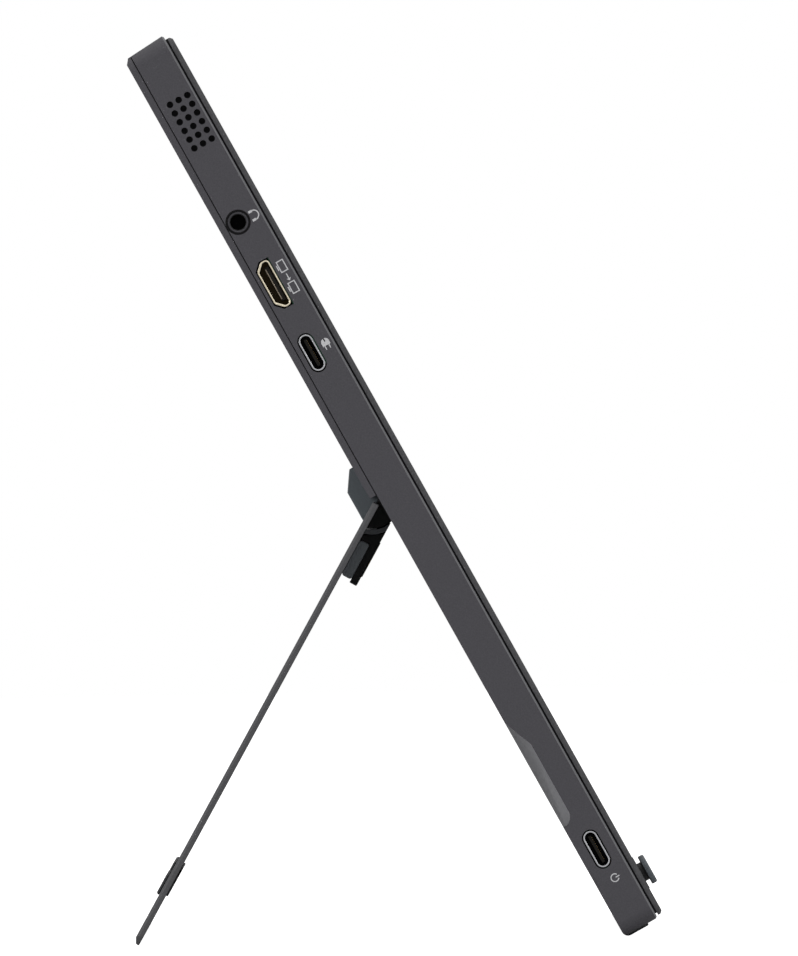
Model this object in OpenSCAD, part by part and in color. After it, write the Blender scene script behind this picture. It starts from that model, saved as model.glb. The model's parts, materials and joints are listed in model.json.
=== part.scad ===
// Portable monitor of the 15.6 inch class, standing on the full-width plate that closes flat over its back.
// Millimetres, +Z up. The screen faces -Y and leans back, and the sockets are on the -X side.
// The origin is on the surface that it stands on, under the middle of its box.
//
// Each piece is drawn in the closed monitor's own frame: x across the width, y from the bezel's face to the
// back, z up from the shell's bottom edge. leaned() sets that frame on the floor, and opened() swings the
// stand's pieces about the hinge axis.

/* [Screen] */
// Width of the lit area
screen_w = 344.2; // [300:0.1:420]
// Height of the lit area
screen_h = 193.6; // [180:0.1:240]
// Border beside the lit area
side_border = 8.9; // [8.4:0.1:20]
// Border above the lit area
top_border = 8.9; // [8:0.1:20]
// Border below the lit area
chin = 24.9; // [24:0.1:40]
// Thickness of the screen's glass
glass_t = 1.1; // [0.7:0.05:1.4]
// Thickness of the diffuser sheets
film_t = 0.4; // [0.2:0.05:0.6]
// Thickness of the light guide
guide_t = 0.8; // [0.6:0.05:1.0]
// Thickness of the tray's sheet
tray_t = 0.4; // [0.3:0.05:0.5]

/* [Housing] */
// Depth from the bezel's face to the floor of the stand's recess
shell_t = 10.2; // [10.1:0.1:13]
// Thickness of the front bezel
bezel_t = 1.2; // [1.1:0.05:1.4]
// Groove between the bezel and the shell
seam = 0.4; // [0.1:0.05:0.45]
// Thickness of the bezel's lip over the screen
lip_t = 0.65; // [0.5:0.05:0.8]
// Foam between the lip and the glass
gasket_t = 0.3; // [0.2:0.05:0.4]
// Thickness of the shell's side walls
wall = 2; // [1.8:0.1:2.4]
// Thickness of the shell's rear floor
floor_t = 1.2; // [1:0.05:1.3]
// Corner radius of the housing, seen from the front
corner_r = 3.5; // [3:0.1:9]
// How much further in the top end is at the back
top_slope = 0.75; // [0:0.05:1.5]
// Inset of the bezel at the sides
bezel_side = 0.4; // [0.2:0.05:0.8]
// Inset of the bezel at the top
bezel_top = 1.1; // [0.4:0.05:1.5]
// Inset of the bezel at the bottom
bezel_bottom = 0.45; // [0.4:0.05:1.5]
// Bevel around the bezel's face
bezel_bevel = 0.6; // [0.3:0.05:0.9]
// Bevel around the shell's front rim
rim_bevel = 0.4; // [0.2:0.05:0.5]
// Chamfer at the rear panel's top end, along the height
panel_bevel = 1.2; // [0.4:0.1:2]

/* [Stand] */
// Opening angle of the stand at rest
stand_open = 57.9; // [40:0.1:75]
// Height of the hinge axis above the shell's bottom
hinge_z = 112.75; // [106:0.05:118]
// Height of the hinge axis above the closed plate's outer face
hinge_rise = 0.2; // [0.1:0.05:0.5]
// Thickness of the stand plate
plate_t = 1.5; // [1.2:0.05:1.8]
// Gap between the closed plate and the shell
stand_gap = 0.25; // [0.2:0.05:0.5]
// Inset of the plate's side edges
plate_side = 0.6; // [0.3:0.05:2]
// Height of the closed plate's tip above the shell's bottom
tip_z = 0.4; // [0:0.1:4]
// Chamfer on the tip's outer edge
tip_bevel = 1.4; // [0.4:0.1:2]
// Width of the hinge cover and of the block on the plate
cover_w = 84; // [78:1:110]
// Length of the hinge cover above the axis
cover_up = 9.25; // [9:0.05:12]
// Length of the hinge cover's sloping front
cover_slope = 4.5; // [3:0.1:5]
// Radius of the drum about the hinge axis
drum_r = 5.9; // [5.5:0.05:6]
// Radius of the hinge's knuckles
barrel_r = 2.8; // [2.5:0.05:2.9]
// Radius of the hinge shafts
shaft_r = 1.5; // [1.2:0.05:1.7]
// Thickness of the block on the plate's inner face
block_t = 4.3; // [4:0.05:4.5]
// Thickness of the block's black cover
cover_t = 1.8; // [1.5:0.05:2]
// Length of the block's black cover, from the hinge axis to its lower end
block_len = 18.5; // [17.5:0.1:24]
// Distance from the hinge axis to the tripod insert's axis
insert_down = 11.75; // [11.5:0.05:12.2]
// Radius of the tripod insert's hole
tripod_r = 3.175; // [3:0.025:3.3]
// Distance from the plate's tip to the middle of its grip strips
grip_up = 14.5; // [13.5:0.1:20]
// Length of each grip strip
grip_len = 105; // [60:1:120]

/* [Feet] */
// Length of each foot strip
foot_len = 75; // [40:1:90]
// Height of the foot strips below the shell
foot_proud = 0.6; // [0.4:0.05:1.2]
// Distance from the side to each foot strip
foot_in = 11; // [9:0.5:30]

/* [Sockets] */
// Distance from the top to the headphone jack
jack_down = 44.9; // [42:0.1:46]
// Distance from the top to the video socket
video_down = 61; // [60:0.1:62.5]
// Distance from the top to the data socket
data_down = 78.6; // [76:0.1:83]
// Height of the power socket
power_z = 20.2; // [19.8:0.1:21]
// Radius of the headphone jack's hole
jack_r = 1.75; // [1.7:0.01:1.8]
// Distance from the top to the speaker grille's middle
grille_down = 20; // [17.5:0.1:23]
// Radius of the grille's holes
grille_hole_r = 0.75; // [0.4:0.05:0.8]
// Distance between the grille's holes
grille_pitch = 2.24; // [2:0.01:2.4]
// Columns of holes in the grille
grille_columns = 6; // [4:1:6]

/* [Navigation stick] */
// Distance from the side to the stick
nav_in = 14; // [13:0.1:18]
// Height of the stick above the shell's bottom
nav_z = 10.5; // [10.2:0.1:11.2]
// Radius of the stick's cap
nav_cap_r = 3.5; // [3:0.05:3.6]
// Height of the cap's face above the bezel
nav_proud = 2.45; // [2.3:0.05:2.7]

/* [Hidden] */
$fn = 48;

// Clearances: eps runs a cut past a face, and past runs it through every piece. fit is between still
// pieces, and run is between a shaft and its bore.
eps = 0.05;
past = 30;
fit = 0.03;
run = 0.05;

// Colours
charcoal = [0.27, 0.27, 0.28];
slate = [0.27, 0.3, 0.31];
black = [0.07, 0.07, 0.08];
steel = [0.62, 0.62, 0.64];
gold = [0.8, 0.62, 0.3];
board_green = [0.08, 0.3, 0.2];

// Housing
body_w = screen_w + 2 * side_border;
body_h = screen_h + top_border + chin;
half_w = body_w / 2;
body_t = shell_t + stand_gap + plate_t;
rim_y = bezel_t + seam;
ledge_y = 2.3;
rim_t = 1;
rim_gap = 0.1;
floor_y = shell_t - floor_t;
jack_z = body_h - jack_down;
video_z = body_h - video_down;
data_z = body_h - data_down;
grille_z = body_h - grille_down;

// Screen module: glass, then the tray with its sheets
screen_z0 = chin;
screen_z1 = chin + screen_h;
window_gap = 0.4;
module_side = 3.2;
module_top = 2.4;
module_foot = 9.4;
module_x = screen_w / 2 + module_side;
module_z0 = screen_z0 - module_foot;
module_z1 = screen_z1 + module_top;
module_gap = 0.4;
gasket_side = 2.2;
glass_y = lip_t + gasket_t;
film_y = glass_y + glass_t;
guide_y = film_y + film_t;
reflector_t = 0.15;
reflector_y = guide_y + guide_t;
tray_y = reflector_y + reflector_t;
tray_back = tray_y + tray_t;
tray_wall = 0.5;
led_h = 2.8;
timing_x = 130;
timing_h = 10;
timing_t = 0.8;
timing_z = module_z0 + 1.5;
flex_x = [-105, -35, 35, 105];
flex_w = 24;
flex_t = 0.3;

// Finger scoop in the shell's edge
scoop_z = 27.9;
scoop_len = 27.1;
scoop_y = shell_t - 2.8;
scoop_r = 2.8;
scoop_ramp = 7;
scoop_in = 9;
scoop_wall = 1;

// Main board, which carries the jack and two sockets on the back of its edge
board_t = 0.8;
socket_edge = 0.3;
jack_y = 7.4;
jack_nose_r = 2.4;
jack_len = 12;
jack_body = [11.4, 4.8, 6];
video_y = 7.45;
video_size = [11.5, 3.6];
video_depth = 7.5;
data_y = 7.25;
power_y = 6.05;
plug_size = [8.94, 3.26];
plug_depth = 7.3;
socket_wall = 0.3;
socket_gap = 0.3;
board_back = data_y - plug_size[1] / 2;
board_y = board_back - board_t;
board_x0 = -half_w + wall + 0.4;
board_w = 90;
board_x1 = board_x0 + board_w;
board_z0 = data_z - 12.8;
board_z1 = jack_z + 11.5;
boss_r = 2.2;
boss_in = 26;
boss_edge = 3.5;
board_boss_x = [board_x0 + boss_in, board_x1 - boss_edge];
board_boss_z = [board_z0 + boss_edge, board_z1 - boss_edge];
screw_r = 0.95;
head_r = 1.9;
head_t = 0.7;

// Power board, which carries the power socket and the navigation switch
power_board_y = 5.75;
power_board_w = 28.5;
power_board_x1 = board_x0 + power_board_w;
power_board_z0 = 5.5;
power_board_z1 = scoop_z - scoop_wall - 0.5;
power_boss_x = power_board_x1 - boss_edge;
power_boss = [[power_boss_x, power_board_z0 + boss_edge], [power_boss_x, power_board_z1 - boss_edge]];
cable_t = 0.4;
cable_in = 12.6;
cable_x = board_x0 + cable_in;
cable_w = 8;
ribbon_in = 37;
ribbon_w = 12;
ribbon_plug = [3, 6];

// Chips and shield can on the board's back: [start, end] along the width and the height, in board sizes
board_h = board_z1 - board_z0;
chips = [
    [[0.355, 0.51], [0.14, 0.38], 1.2], [[0.6, 0.69], [0.1, 0.24], 1], [[0.755, 0.865], [0.28, 0.38], 1]
];
can = [[0.38, 0.845], [0.45, 0.9], 1.8];
can_wall = 0.3;

function on_board(part) = [
    [board_x0 + part[0][0] * board_w, board_x0 + part[0][1] * board_w],
    [board_z0 + part[1][0] * board_h, board_z0 + part[1][1] * board_h]
];

// Speakers behind the grilles
grille_y = 5.6;
grille_rows = 3;
cloth_t = 0.2;
cloth_y0 = ledge_y + 0.1;
foam_t = 0.5;
speaker_d = 7;
speaker_h = 22;
speaker_y0 = 4.1;
cone_w = 15;
cone_h = 2.9;

// Posts between the rear floor and the tray, and the screws up from the recess into the bezel
post_r = 2;
post_x = [-150, -60, 60, 150];
post_z = [42, 80, 126, 206];
case_screw_x = [-125, -42, 42, 125];
case_screw_z = 8;
case_boss_r = 2.5;
case_head_t = 0.9;
case_screw_len = 5.4;

// Hinge axis, and the plate's faces when closed
hinge_y = body_t + hinge_rise;
plate_y = body_t - plate_t;
plate_up = 0.4;
panel_z0 = hinge_z + 1.05;
half_cover = cover_w / 2;
side_gap = 0.4;
plate_bevel = 0.5;
panel_seam = [0.3, 0.25];

// Hinge cover on the body: a hollow hump whose lower half is closed by the drum
cover_lip = 1;
roof_t = 0.8;
roof_inner = hinge_y + barrel_r + 0.2;
roof_y = roof_inner + roof_t;
cover_z1 = hinge_z + cover_up;
cover_wall = 1.2;
roof_z0 = hinge_z - sqrt(pow(drum_r - 0.15, 2) - pow(roof_y - hinge_y, 2));
drum_cut_z = hinge_z + 0.15;
hollow_r = barrel_r + 0.3;

// Hinge hardware, from the middle outwards: nut, springs, washer, knuckle, washer, arm, head
nut_x = 10.6;
nut_t = 1.8;
spring_x = nut_x + nut_t;
spring_t = 1;
washer_t = 0.7;
washer_x = spring_x + spring_t;
side_play = 0.1;
knuckle_x = washer_x + washer_t + side_play;
knuckle_w = 8.8;
outer_washer_x = knuckle_x + knuckle_w + side_play;
arm_x = outer_washer_x + washer_t;
arm_w = 8;
shaft_head_t = 1.2;
washer_r = barrel_r - 0.2;
slot_x0 = arm_x - side_gap;
slot_x1 = arm_x + arm_w + side_gap;
bracket_t = 1.2;
bracket_x1 = half_cover - 4;
bracket_z0 = hinge_z + 3.45;
bracket_z1 = cover_z1 - cover_wall - 0.1;
bracket_screw_x = [knuckle_x + 2.8, arm_x + 2.3, bracket_x1 - 3];
bracket_screw_z = (bracket_z0 + bracket_z1) / 2;
bracket_screw_len = 4;

// Block on the plate's inner face
block_y = plate_y - block_t;
cover_y = block_y + cover_t;
block_z0 = hinge_z - block_len;
lead_in = 0.7;
housing_z0 = block_z0 + lead_in;
housing_z1 = hinge_z - 8.7;
saddle_r = drum_r + 0.3;
saddle_t = 1.1;
arm_y = cover_y + 0.4;
leaf_y = cover_y + 1.1;
leaf_z0 = housing_z0 + 1.5;
web_y = plate_y + 0.9;
notch_z = hinge_z - saddle_r;
arm_screw_x = arm_x + arm_w / 2;
arm_screw_z = [leaf_z0 + 2.4, housing_z1 - 2.2];
insert_z = hinge_z - insert_down;
insert_wall = 0.8;
insert_rim = 0.2;
cover_screw_x = [half_cover - 4, 10];
cover_screw_z = block_z0 + 4.6;

// Pocket in the shell for the block and the drum
pocket_gap = 0.4;
pocket_y = block_y - pocket_gap;
pocket_wall = 1;
pocket_x = half_cover + side_gap;
block_reach = norm([block_len, hinge_y - block_y]);
pocket_z0 = hinge_z - sqrt(pow(block_reach, 2) - pow(hinge_y - shell_t, 2)) - pocket_gap;
pocket_z1 = hinge_z + 2.85;

// Grip strips through the plate
grip_z = tip_z + grip_up;
grip_x0 = half_w - plate_side - 3 - grip_len;
grip_out = [4.7, 0.7];
grip_in = [3.5, 0.45];
grip_web = 2;

// Foot strips in the bottom wall, which wrap round its back edge
foot_y = 4.1;
foot_seat = 0.5;
foot_r = 1.5;
foot_top = 1.3;
foot_mid = [shell_t - foot_r, foot_r - foot_proud];
bottom_r = 1.2;

// Navigation switch: a gimbal ring, a cup that tilts in it, and a stick that slides in the cup
nav_x = -half_w + nav_in;
nav_pivot_y = 3.65;
nav_hole_r = 2.95;
nav_neck_r = 2.2;
nav_cap_t = 1.4;
nav_collar = [4, 0.15];
nav_base = 7.4;
nav_base_y = 2.6;
nav_roof = 0.25;
nav_hollow_r = 3.3;
nav_floor = 0.45;
ring_r = [2.55, 3.1];
ring_t = 0.7;
pin_r = 0.25;
pin_len = 0.4;
cup_r = 2.1;
cup_y = [1.6, 4.4];
plunger_r = 1.46;
plunger_end = 4.8;
neck_end = 1.2;

// Lean of the body: the foot strips' round edge and the stand's tip are both on the floor
function open_y(y, z) = hinge_y + (y - hinge_y) * cos(stand_open) - (z - hinge_z) * sin(stand_open);
function open_z(y, z) = hinge_z + (y - hinge_y) * sin(stand_open) + (z - hinge_z) * cos(stand_open);
tip_mid = body_t - plate_t / 2;
tip_reach = [open_y(plate_y, tip_z) - foot_mid[0], open_z(plate_y, tip_z) - foot_mid[1]];
lean = atan2(tip_reach[1], tip_reach[0]) + asin(foot_r / norm(tip_reach));
function floor_y_of(y, z) = y * cos(lean) + z * sin(lean);
function floor_z_of(y, z) = z * cos(lean) - y * sin(lean);
front_reach = floor_y_of(0, bezel_bottom + bezel_bevel);
back_reach = max(
    floor_y_of(body_t, body_h - top_slope - panel_bevel),
    floor_y_of(open_y(tip_mid, tip_z), open_z(tip_mid, tip_z)),
    floor_y_of(open_y(body_t, tip_z + tip_bevel), open_z(body_t, tip_z + tip_bevel))
);
shift_y = -(front_reach + back_reach) / 2;
shift_z = foot_r - floor_z_of(foot_mid[0], foot_mid[1]);

module leaned() {
    translate([0, shift_y, shift_z]) rotate([-lean, 0, 0]) children();
}

module opened() {
    leaned()
        translate([0, hinge_y, hinge_z]) rotate([stand_open, 0, 0]) translate([0, -hinge_y, -hinge_z])
            children();
}

// ---- Shared shapes ----

// An x-z outline extruded from depth y0 to depth y1
module layer(y0, y1) {
    translate([0, y1, 0]) rotate([90, 0, 0]) linear_extrude(y1 - y0) children();
}

// A depth-height profile extruded across the width
module across(x0, x1) {
    translate([x0, 0, 0]) rotate([90, 0, 90]) linear_extrude(x1 - x0) children();
}

module box(x, y, z) {
    translate([x[0], y[0], z[0]]) cube([x[1] - x[0], y[1] - y[0], z[1] - z[0]]);
}

module rod_x(x0, x1, y, z, r) {
    translate([x0, y, z]) rotate([0, 90, 0]) cylinder(h = x1 - x0, r = r);
}

module rod_y(x, z, y0, y1, r) {
    translate([x, y0, z]) rotate([-90, 0, 0]) cylinder(h = y1 - y0, r = r);
}

module both_sides() {
    children();
    mirror([1, 0, 0]) children();
}

module round_rect(x0, x1, y0, y1, r) {
    translate([x0 + r, y0]) square([x1 - x0 - 2 * r, y1 - y0]);
    translate([x0, y0 + r]) square([x1 - x0, y1 - y0 - 2 * r]);
    for (x = [x0 + r, x1 - r], y = [y0 + r, y1 - r]) translate([x, y]) circle(r);
}

module outline(side, top, bottom) {
    round_rect(side - half_w, half_w - side, bottom, body_h - top, max(corner_r - side, 0.5));
}

// A slot with round ends, standing along the height: size is [height, depth]
module stadium(y, z, size, grow = 0) {
    r = size[1] / 2 + grow;
    reach = (size[0] - size[1]) / 2;
    translate([y - r, z - reach]) square([2 * r, 2 * reach]);
    for (s = [-1, 1]) translate([y, z + s * reach]) circle(r);
}

// The video socket's outline: its two back corners are cut off
module video_outline(grow) {
    h = video_size[0] / 2 + grow;
    d = video_size[1] / 2 + grow;
    cut = 1.7;
    translate([video_y, video_z])
        polygon([[-d, -h], [d - cut, -h], [d, cut - h], [d, h - cut], [d - cut, h], [-d, h]]);
}

module annulus(y, z, r0, r1) {
    difference() {
        translate([y, z]) circle(r1);
        translate([y, z]) circle(r0);
    }
}

// A screw whose head's outer face is at y0 and whose shank runs towards smaller y, or larger if dir is 1
module screw(x, z, y_head, h_head, length, dir) {
    y1 = y_head + dir * h_head;
    y2 = y1 + dir * length;
    rod_y(x, z, min(y_head, y1), max(y_head, y1), head_r);
    rod_y(x, z, min(y1, y2), max(y1, y2), screw_r);
}

// Wedge that slopes the top end of the shell and of the rear panel
module top_slope_cut() {
    drop = top_slope * (body_t + 1 - rim_y) / (body_t - rim_y);
    across(-half_w - 1, half_w + 1)
        polygon([
            [rim_y, body_h], [body_t + 1, body_h - drop], [body_t + 1, body_h + 1], [rim_y, body_h + 1]
        ]);
}

// ---- Front: bezel and screen ----

module front_bezel() {
    color(charcoal) difference() {
        union() {
            hull() {
                layer(0, eps)
                    outline(bezel_side + bezel_bevel, bezel_top + bezel_bevel, bezel_bottom + bezel_bevel);
                layer(bezel_bevel, bezel_t) outline(bezel_side, bezel_top, bezel_bottom);
            }
            layer(bezel_t - eps, ledge_y) difference() {
                outline(rim_t + rim_gap, rim_t + rim_gap, rim_t + rim_gap);
                outline(wall, wall, wall);
            }
            for (x = case_screw_x) rod_y(x, case_screw_z, bezel_t - eps, floor_y, case_boss_r);
            rod_y(nav_x, nav_z, -nav_collar[1], eps, nav_collar[0]);
        }
        window = window_gap + screen_w / 2;
        box([-window, window], [-1, bezel_t + 1], [screen_z0 - window_gap, screen_z1 + window_gap]);
        seat = module_x + module_gap;
        box([-seat, seat], [lip_t, bezel_t + 1], [module_z0 - module_gap, module_z1 + module_gap]);
        rod_y(nav_x, nav_z, -1, bezel_t + 1, nav_hole_r);
        for (x = case_screw_x)
            rod_y(x, case_screw_z, floor_y - case_screw_len - 0.3, floor_y + 1, screw_r + fit);
    }
}

module screen_gasket() {
    edge = module_x - gasket_side;
    color(black) difference() {
        box([-module_x, module_x], [lip_t, glass_y], [module_z0, module_z1]);
        box([-edge, edge], [0, 2], [screen_z0 - window_gap - 1, module_z1 - module_top + window_gap + 0.4]);
    }
}

module screen_glass() {
    color([0.05, 0.05, 0.07]) box([-module_x, module_x], [glass_y, film_y], [module_z0, module_z1]);
}

module diffuser_sheets() {
    x = module_x - tray_wall - 0.1;
    color([0.93, 0.93, 0.93])
        box([-x, x], [film_y, guide_y], [module_z0 + tray_wall + 0.1, module_z1 - tray_wall - 0.1]);
}

module light_guide() {
    x = module_x - tray_wall - 0.1;
    z0 = module_z0 + tray_wall + led_h + 0.2;
    color([0.85, 0.92, 0.95]) box([-x, x], [guide_y, reflector_y], [z0, module_z1 - tray_wall - 0.1]);
}

module reflector_sheet() {
    x = module_x - tray_wall - 0.1;
    color("white")
        box([-x, x], [reflector_y, tray_y], [module_z0 + tray_wall + 0.1, module_z1 - tray_wall - 0.1]);
}

module led_strip() {
    x = module_x - tray_wall - 2;
    z0 = module_z0 + tray_wall;
    color([0.9, 0.85, 0.5]) difference() {
        box([-x, x], [guide_y, reflector_y], [z0, z0 + led_h]);
        for (i = [-16:16])
            box([i * x / 17, i * x / 17 + 4], [guide_y - 1, guide_y + 0.3], [z0 + 1.6, z0 + 4]);
    }
}

module backlight_tray() {
    inner = module_x - tray_wall;
    color(steel) difference() {
        box([-module_x, module_x], [film_y, tray_back], [module_z0, module_z1]);
        box([-inner, inner], [film_y - 1, tray_y], [module_z0 + tray_wall, module_z1 - tray_wall]);
    }
}

module timing_board() {
    color(board_green)
        box([-timing_x, timing_x], [tray_back, tray_back + timing_t], [timing_z, timing_z + timing_h]);
}

// Flexes from the glass's lower edge, round the tray, to the timing board
module screen_flexes() {
    y1 = tray_back + timing_t;
    color([0.55, 0.35, 0.15]) for (x = flex_x) {
        across(x - flex_w / 2, x + flex_w / 2)
            polygon([
                [glass_y + 0.3, module_z0 - flex_t], [y1 + flex_t, module_z0 - flex_t],
                [y1 + flex_t, timing_z + 3], [y1, timing_z + 3], [y1, module_z0], [glass_y + 0.3, module_z0]
            ]);
    }
}

// Flat cable down the tray's back, from a plug on the main board to the timing board
module display_cable() {
    x = [board_x1 - ribbon_in, board_x1 - ribbon_in + ribbon_w];
    plug = [board_z0 + ribbon_plug[0], board_z0 + ribbon_plug[1]];
    color([0.12, 0.12, 0.13]) {
        box(x, [tray_back, tray_back + flex_t], [timing_z + timing_h, plug[1]]);
        box(x, [tray_back + flex_t - eps, board_y], plug);
    }
}

// ---- Housing ----

module shell_skin() {
    hull() {
        layer(rim_y, rim_y + eps) outline(rim_bevel, rim_bevel, rim_bevel);
        layer(rim_y + rim_bevel, shell_t) outline(0, 0, 0);
    }
}

module grille_holes() {
    for (i = [0:grille_columns - 1], j = [0:grille_rows - 1])
        rod_x(
            half_w - wall - 1, half_w + 1,
            grille_y + (j - (grille_rows - 1) / 2) * grille_pitch,
            grille_z + (i - (grille_columns - 1) / 2) * grille_pitch,
            grille_hole_r
        );
}

module socket_cuts() {
    x0 = -half_w - 1;
    x1 = -half_w + wall + 0.5;
    rod_x(x0, x1, jack_y, jack_z, jack_nose_r + 0.25);
    across(x0, x1) video_outline(0.25);
    across(x0, x1) stadium(data_y, data_z, plug_size, socket_gap);
    across(x0, x1) stadium(power_y, power_z, plug_size, socket_gap);
}

// Finger scoop: a round end at the bottom, a ramp at the top, and a floor that rises inwards
module scoop_cut(grow) {
    slope = (shell_t - scoop_y) / scoop_in;
    intersection() {
        translate([0, 0, scoop_z - 5]) linear_extrude(scoop_len + 10) polygon([
            [-half_w - 1, scoop_y - slope - grow],
            [-half_w + scoop_in + grow, shell_t - grow + slope * grow],
            [-half_w + scoop_in + grow, shell_t + 1], [-half_w - 1, shell_t + 1]
        ]);
        across(-half_w - 1, -half_w + scoop_in + grow) translate([0, -grow]) difference() {
            polygon([
                [shell_t + 1, scoop_z], [scoop_y - grow, scoop_z],
                [scoop_y - grow, scoop_z + scoop_len - scoop_ramp + 2 * grow],
                [shell_t, scoop_z + scoop_len + 2 * grow], [shell_t + 1, scoop_z + scoop_len + 2 * grow]
            ]);
            difference() {
                translate([scoop_y - grow - 1, scoop_z - 1]) square(scoop_r + 1);
                translate([scoop_y - grow + scoop_r, scoop_z + scoop_r]) circle(scoop_r);
                translate([scoop_y - grow + scoop_r, scoop_z - 2]) square(2 * scoop_r + 4);
            }
        }
    }
}

module rear_shell() {
    color(charcoal) difference() {
        union() {
            difference() {
                shell_skin();
                layer(rim_y - 1, ledge_y + eps) outline(rim_t, rim_t, rim_t);
                layer(ledge_y, floor_y) outline(wall, wall, wall);
            }
            box(
                [-pocket_x - pocket_wall, pocket_x + pocket_wall],
                [pocket_y - pocket_wall, floor_y + eps], [pocket_z0 - pocket_wall, pocket_z1 + pocket_wall]
            );
            for (x = post_x, z = post_z) rod_y(x, z, tray_back, floor_y + eps, post_r);
            for (x = board_boss_x, z = board_boss_z) rod_y(x, z, board_back, floor_y + eps, boss_r);
            for (p = power_boss) rod_y(p[0], p[1], power_board_y + board_t, floor_y + eps, boss_r);
            both_sides() for (x = bracket_screw_x)
                rod_y(x, bracket_screw_z, shell_t - bracket_screw_len, floor_y + eps, boss_r);
            intersection() {
                scoop_cut(scoop_wall);
                layer(ledge_y + 1, floor_y + eps) outline(wall - eps, wall - eps, wall - eps);
            }
        }
        box([-pocket_x, pocket_x], [pocket_y, shell_t + 1], [pocket_z0, pocket_z1]);
        scoop_cut(0);
        socket_cuts();
        both_sides() grille_holes();
        box(
            [-half_w + wall, -half_w + wall + 21], [floor_y - 1, shell_t + 1],
            [data_z - 7.8, jack_z + 5.5]
        );
        both_sides() across(half_w - foot_in - foot_len, half_w - foot_in) foot_profile(fit);
        both_sides() box(
            [grip_x0 - 1, half_w + 1], [shell_t - 0.5, shell_t + 1],
            [grip_z - grip_in[0] / 2 - 0.5, grip_z + grip_in[0] / 2 + 0.5]
        );
        for (x = case_screw_x) {
            rod_y(x, case_screw_z, shell_t - case_head_t, shell_t + 1, head_r + fit);
            rod_y(x, case_screw_z, floor_y - 1, shell_t, screw_r + 0.1);
        }
        for (x = board_boss_x, z = board_boss_z) rod_y(x, z, board_back - 1, floor_y, screw_r + fit);
        for (p = power_boss) rod_y(p[0], p[1], power_board_y, floor_y, screw_r + fit);
        both_sides() for (x = bracket_screw_x)
            rod_y(x, bracket_screw_z, shell_t - bracket_screw_len - 1, shell_t + 1, screw_r + fit);
        both_sides() for (x = hook_x()) rear_panel_hook(x, 0.2);
        top_slope_cut();
        across(-half_w - 1, half_w + 1) difference() {
            translate([shell_t - bottom_r, -1]) square([bottom_r + 1, bottom_r + 1]);
            translate([shell_t - bottom_r, bottom_r]) circle(bottom_r);
        }
    }
}

// Hooks that hold the rear panel in slots of the shell's floor
hook_pitch = 55;
hook_w = 8;
hook_t = 1;
hook_z = body_h - 14;

function hook_x() = [for (i = [0:2]) hook_pitch * (i + 0.5)];

module rear_panel_hook(x, grow) {
    box(
        [x - hook_w / 2 - grow, x + hook_w / 2 + grow], [floor_y - eps - grow, shell_t + eps + grow],
        [hook_z - grow, hook_z + hook_t + grow]
    );
}

module rear_panel() {
    color(charcoal) difference() {
        union() {
            intersection() {
                union() {
                    layer(shell_t, shell_t + panel_seam[1] + eps)
                        outline(panel_seam[0], panel_seam[0], 0);
                    layer(shell_t + panel_seam[1], body_t) outline(0, 0, 0);
                }
                box([-half_w, half_w], [0, body_t], [panel_z0, body_h]);
            }
            both_sides() for (x = hook_x()) rear_panel_hook(x, 0);
        }
        gap = 0.2;
        box([-half_cover - gap, half_cover + gap], [0, body_t + 1], [0, cover_z1 + gap]);
        top_slope_cut();
        end_z = body_h - top_slope;
        across(-half_w - 1, half_w + 1)
            polygon([
                [body_t - 1, end_z + 0.1], [body_t - 1, end_z + 1],
                [body_t + 1, end_z + 1], [body_t + 1, end_z - 2 * panel_bevel],
                [body_t, end_z - panel_bevel]
            ]);
    }
}

// A strip's profile: flat under the bottom wall, then round the edge to the recess's floor
module foot_profile(grow) {
    inner = foot_r - foot_proud - foot_seat - grow;
    out = grow > 0 ? 1 : 0;
    translate([foot_y - grow, -foot_proud - out])
        square([foot_mid[0] - foot_y + grow, foot_proud + foot_seat + grow + out]);
    translate([foot_mid[0] + inner, foot_mid[1]])
        square([foot_r - inner + out, foot_top - foot_mid[1] + grow]);
    intersection() {
        annulus(foot_mid[0], foot_mid[1], inner, foot_r + out);
        translate([foot_mid[0], foot_mid[1] - 2 * foot_r]) square(2 * foot_r);
    }
}

module foot_strips() {
    color(black) both_sides()
        across(half_w - foot_in - foot_len + fit, half_w - foot_in - fit) foot_profile(0);
}

module case_screws() {
    color(steel) for (x = case_screw_x)
        screw(x, case_screw_z, shell_t, case_head_t, case_screw_len, -1);
}

// ---- Boards and sockets ----

module main_board() {
    color(board_green) difference() {
        box([board_x0, board_x1], [board_y, board_back], [board_z0, board_z1]);
        d = jack_body[2] / 2 + 0.3;
        box([board_x0 - 1, -half_w + jack_body[0] + 3.2], [0, body_t], [jack_z - d, jack_z + d]);
        for (x = board_boss_x, z = board_boss_z) rod_y(x, z, 0, body_t, screw_r + 0.15);
    }
}

module board_chips() {
    color(black) for (chip = chips)
        box(on_board(chip)[0], [board_back, board_back + chip[2]], on_board(chip)[1]);
}

module shield_can() {
    x = on_board(can)[0];
    z = on_board(can)[1];
    w = can_wall;
    color(steel) difference() {
        box(x, [board_back, board_back + can[2]], z);
        box([x[0] + w, x[1] - w], [board_back - 1, board_back + can[2] - w], [z[0] + w, z[1] - w]);
    }
}

module power_board() {
    color(board_green) difference() {
        box(
            [board_x0, power_board_x1], [power_board_y, power_board_y + board_t],
            [power_board_z0, power_board_z1]
        );
        d = plug_size[0] / 2 + 0.2;
        box([board_x0 - 1, -half_w + plug_depth + 0.6], [0, body_t], [power_z - d, power_z + d]);
        for (p = power_boss) rod_y(p[0], p[1], 0, body_t, screw_r + 0.15);
    }
}

// Flat cable from the power board's face up to the main board's lower edge
module power_cable() {
    color([0.12, 0.12, 0.13]) box(
        [cable_x, cable_x + cable_w], [power_board_y - cable_t, power_board_y],
        [power_board_z1 - 3, board_z0]
    );
}

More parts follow.
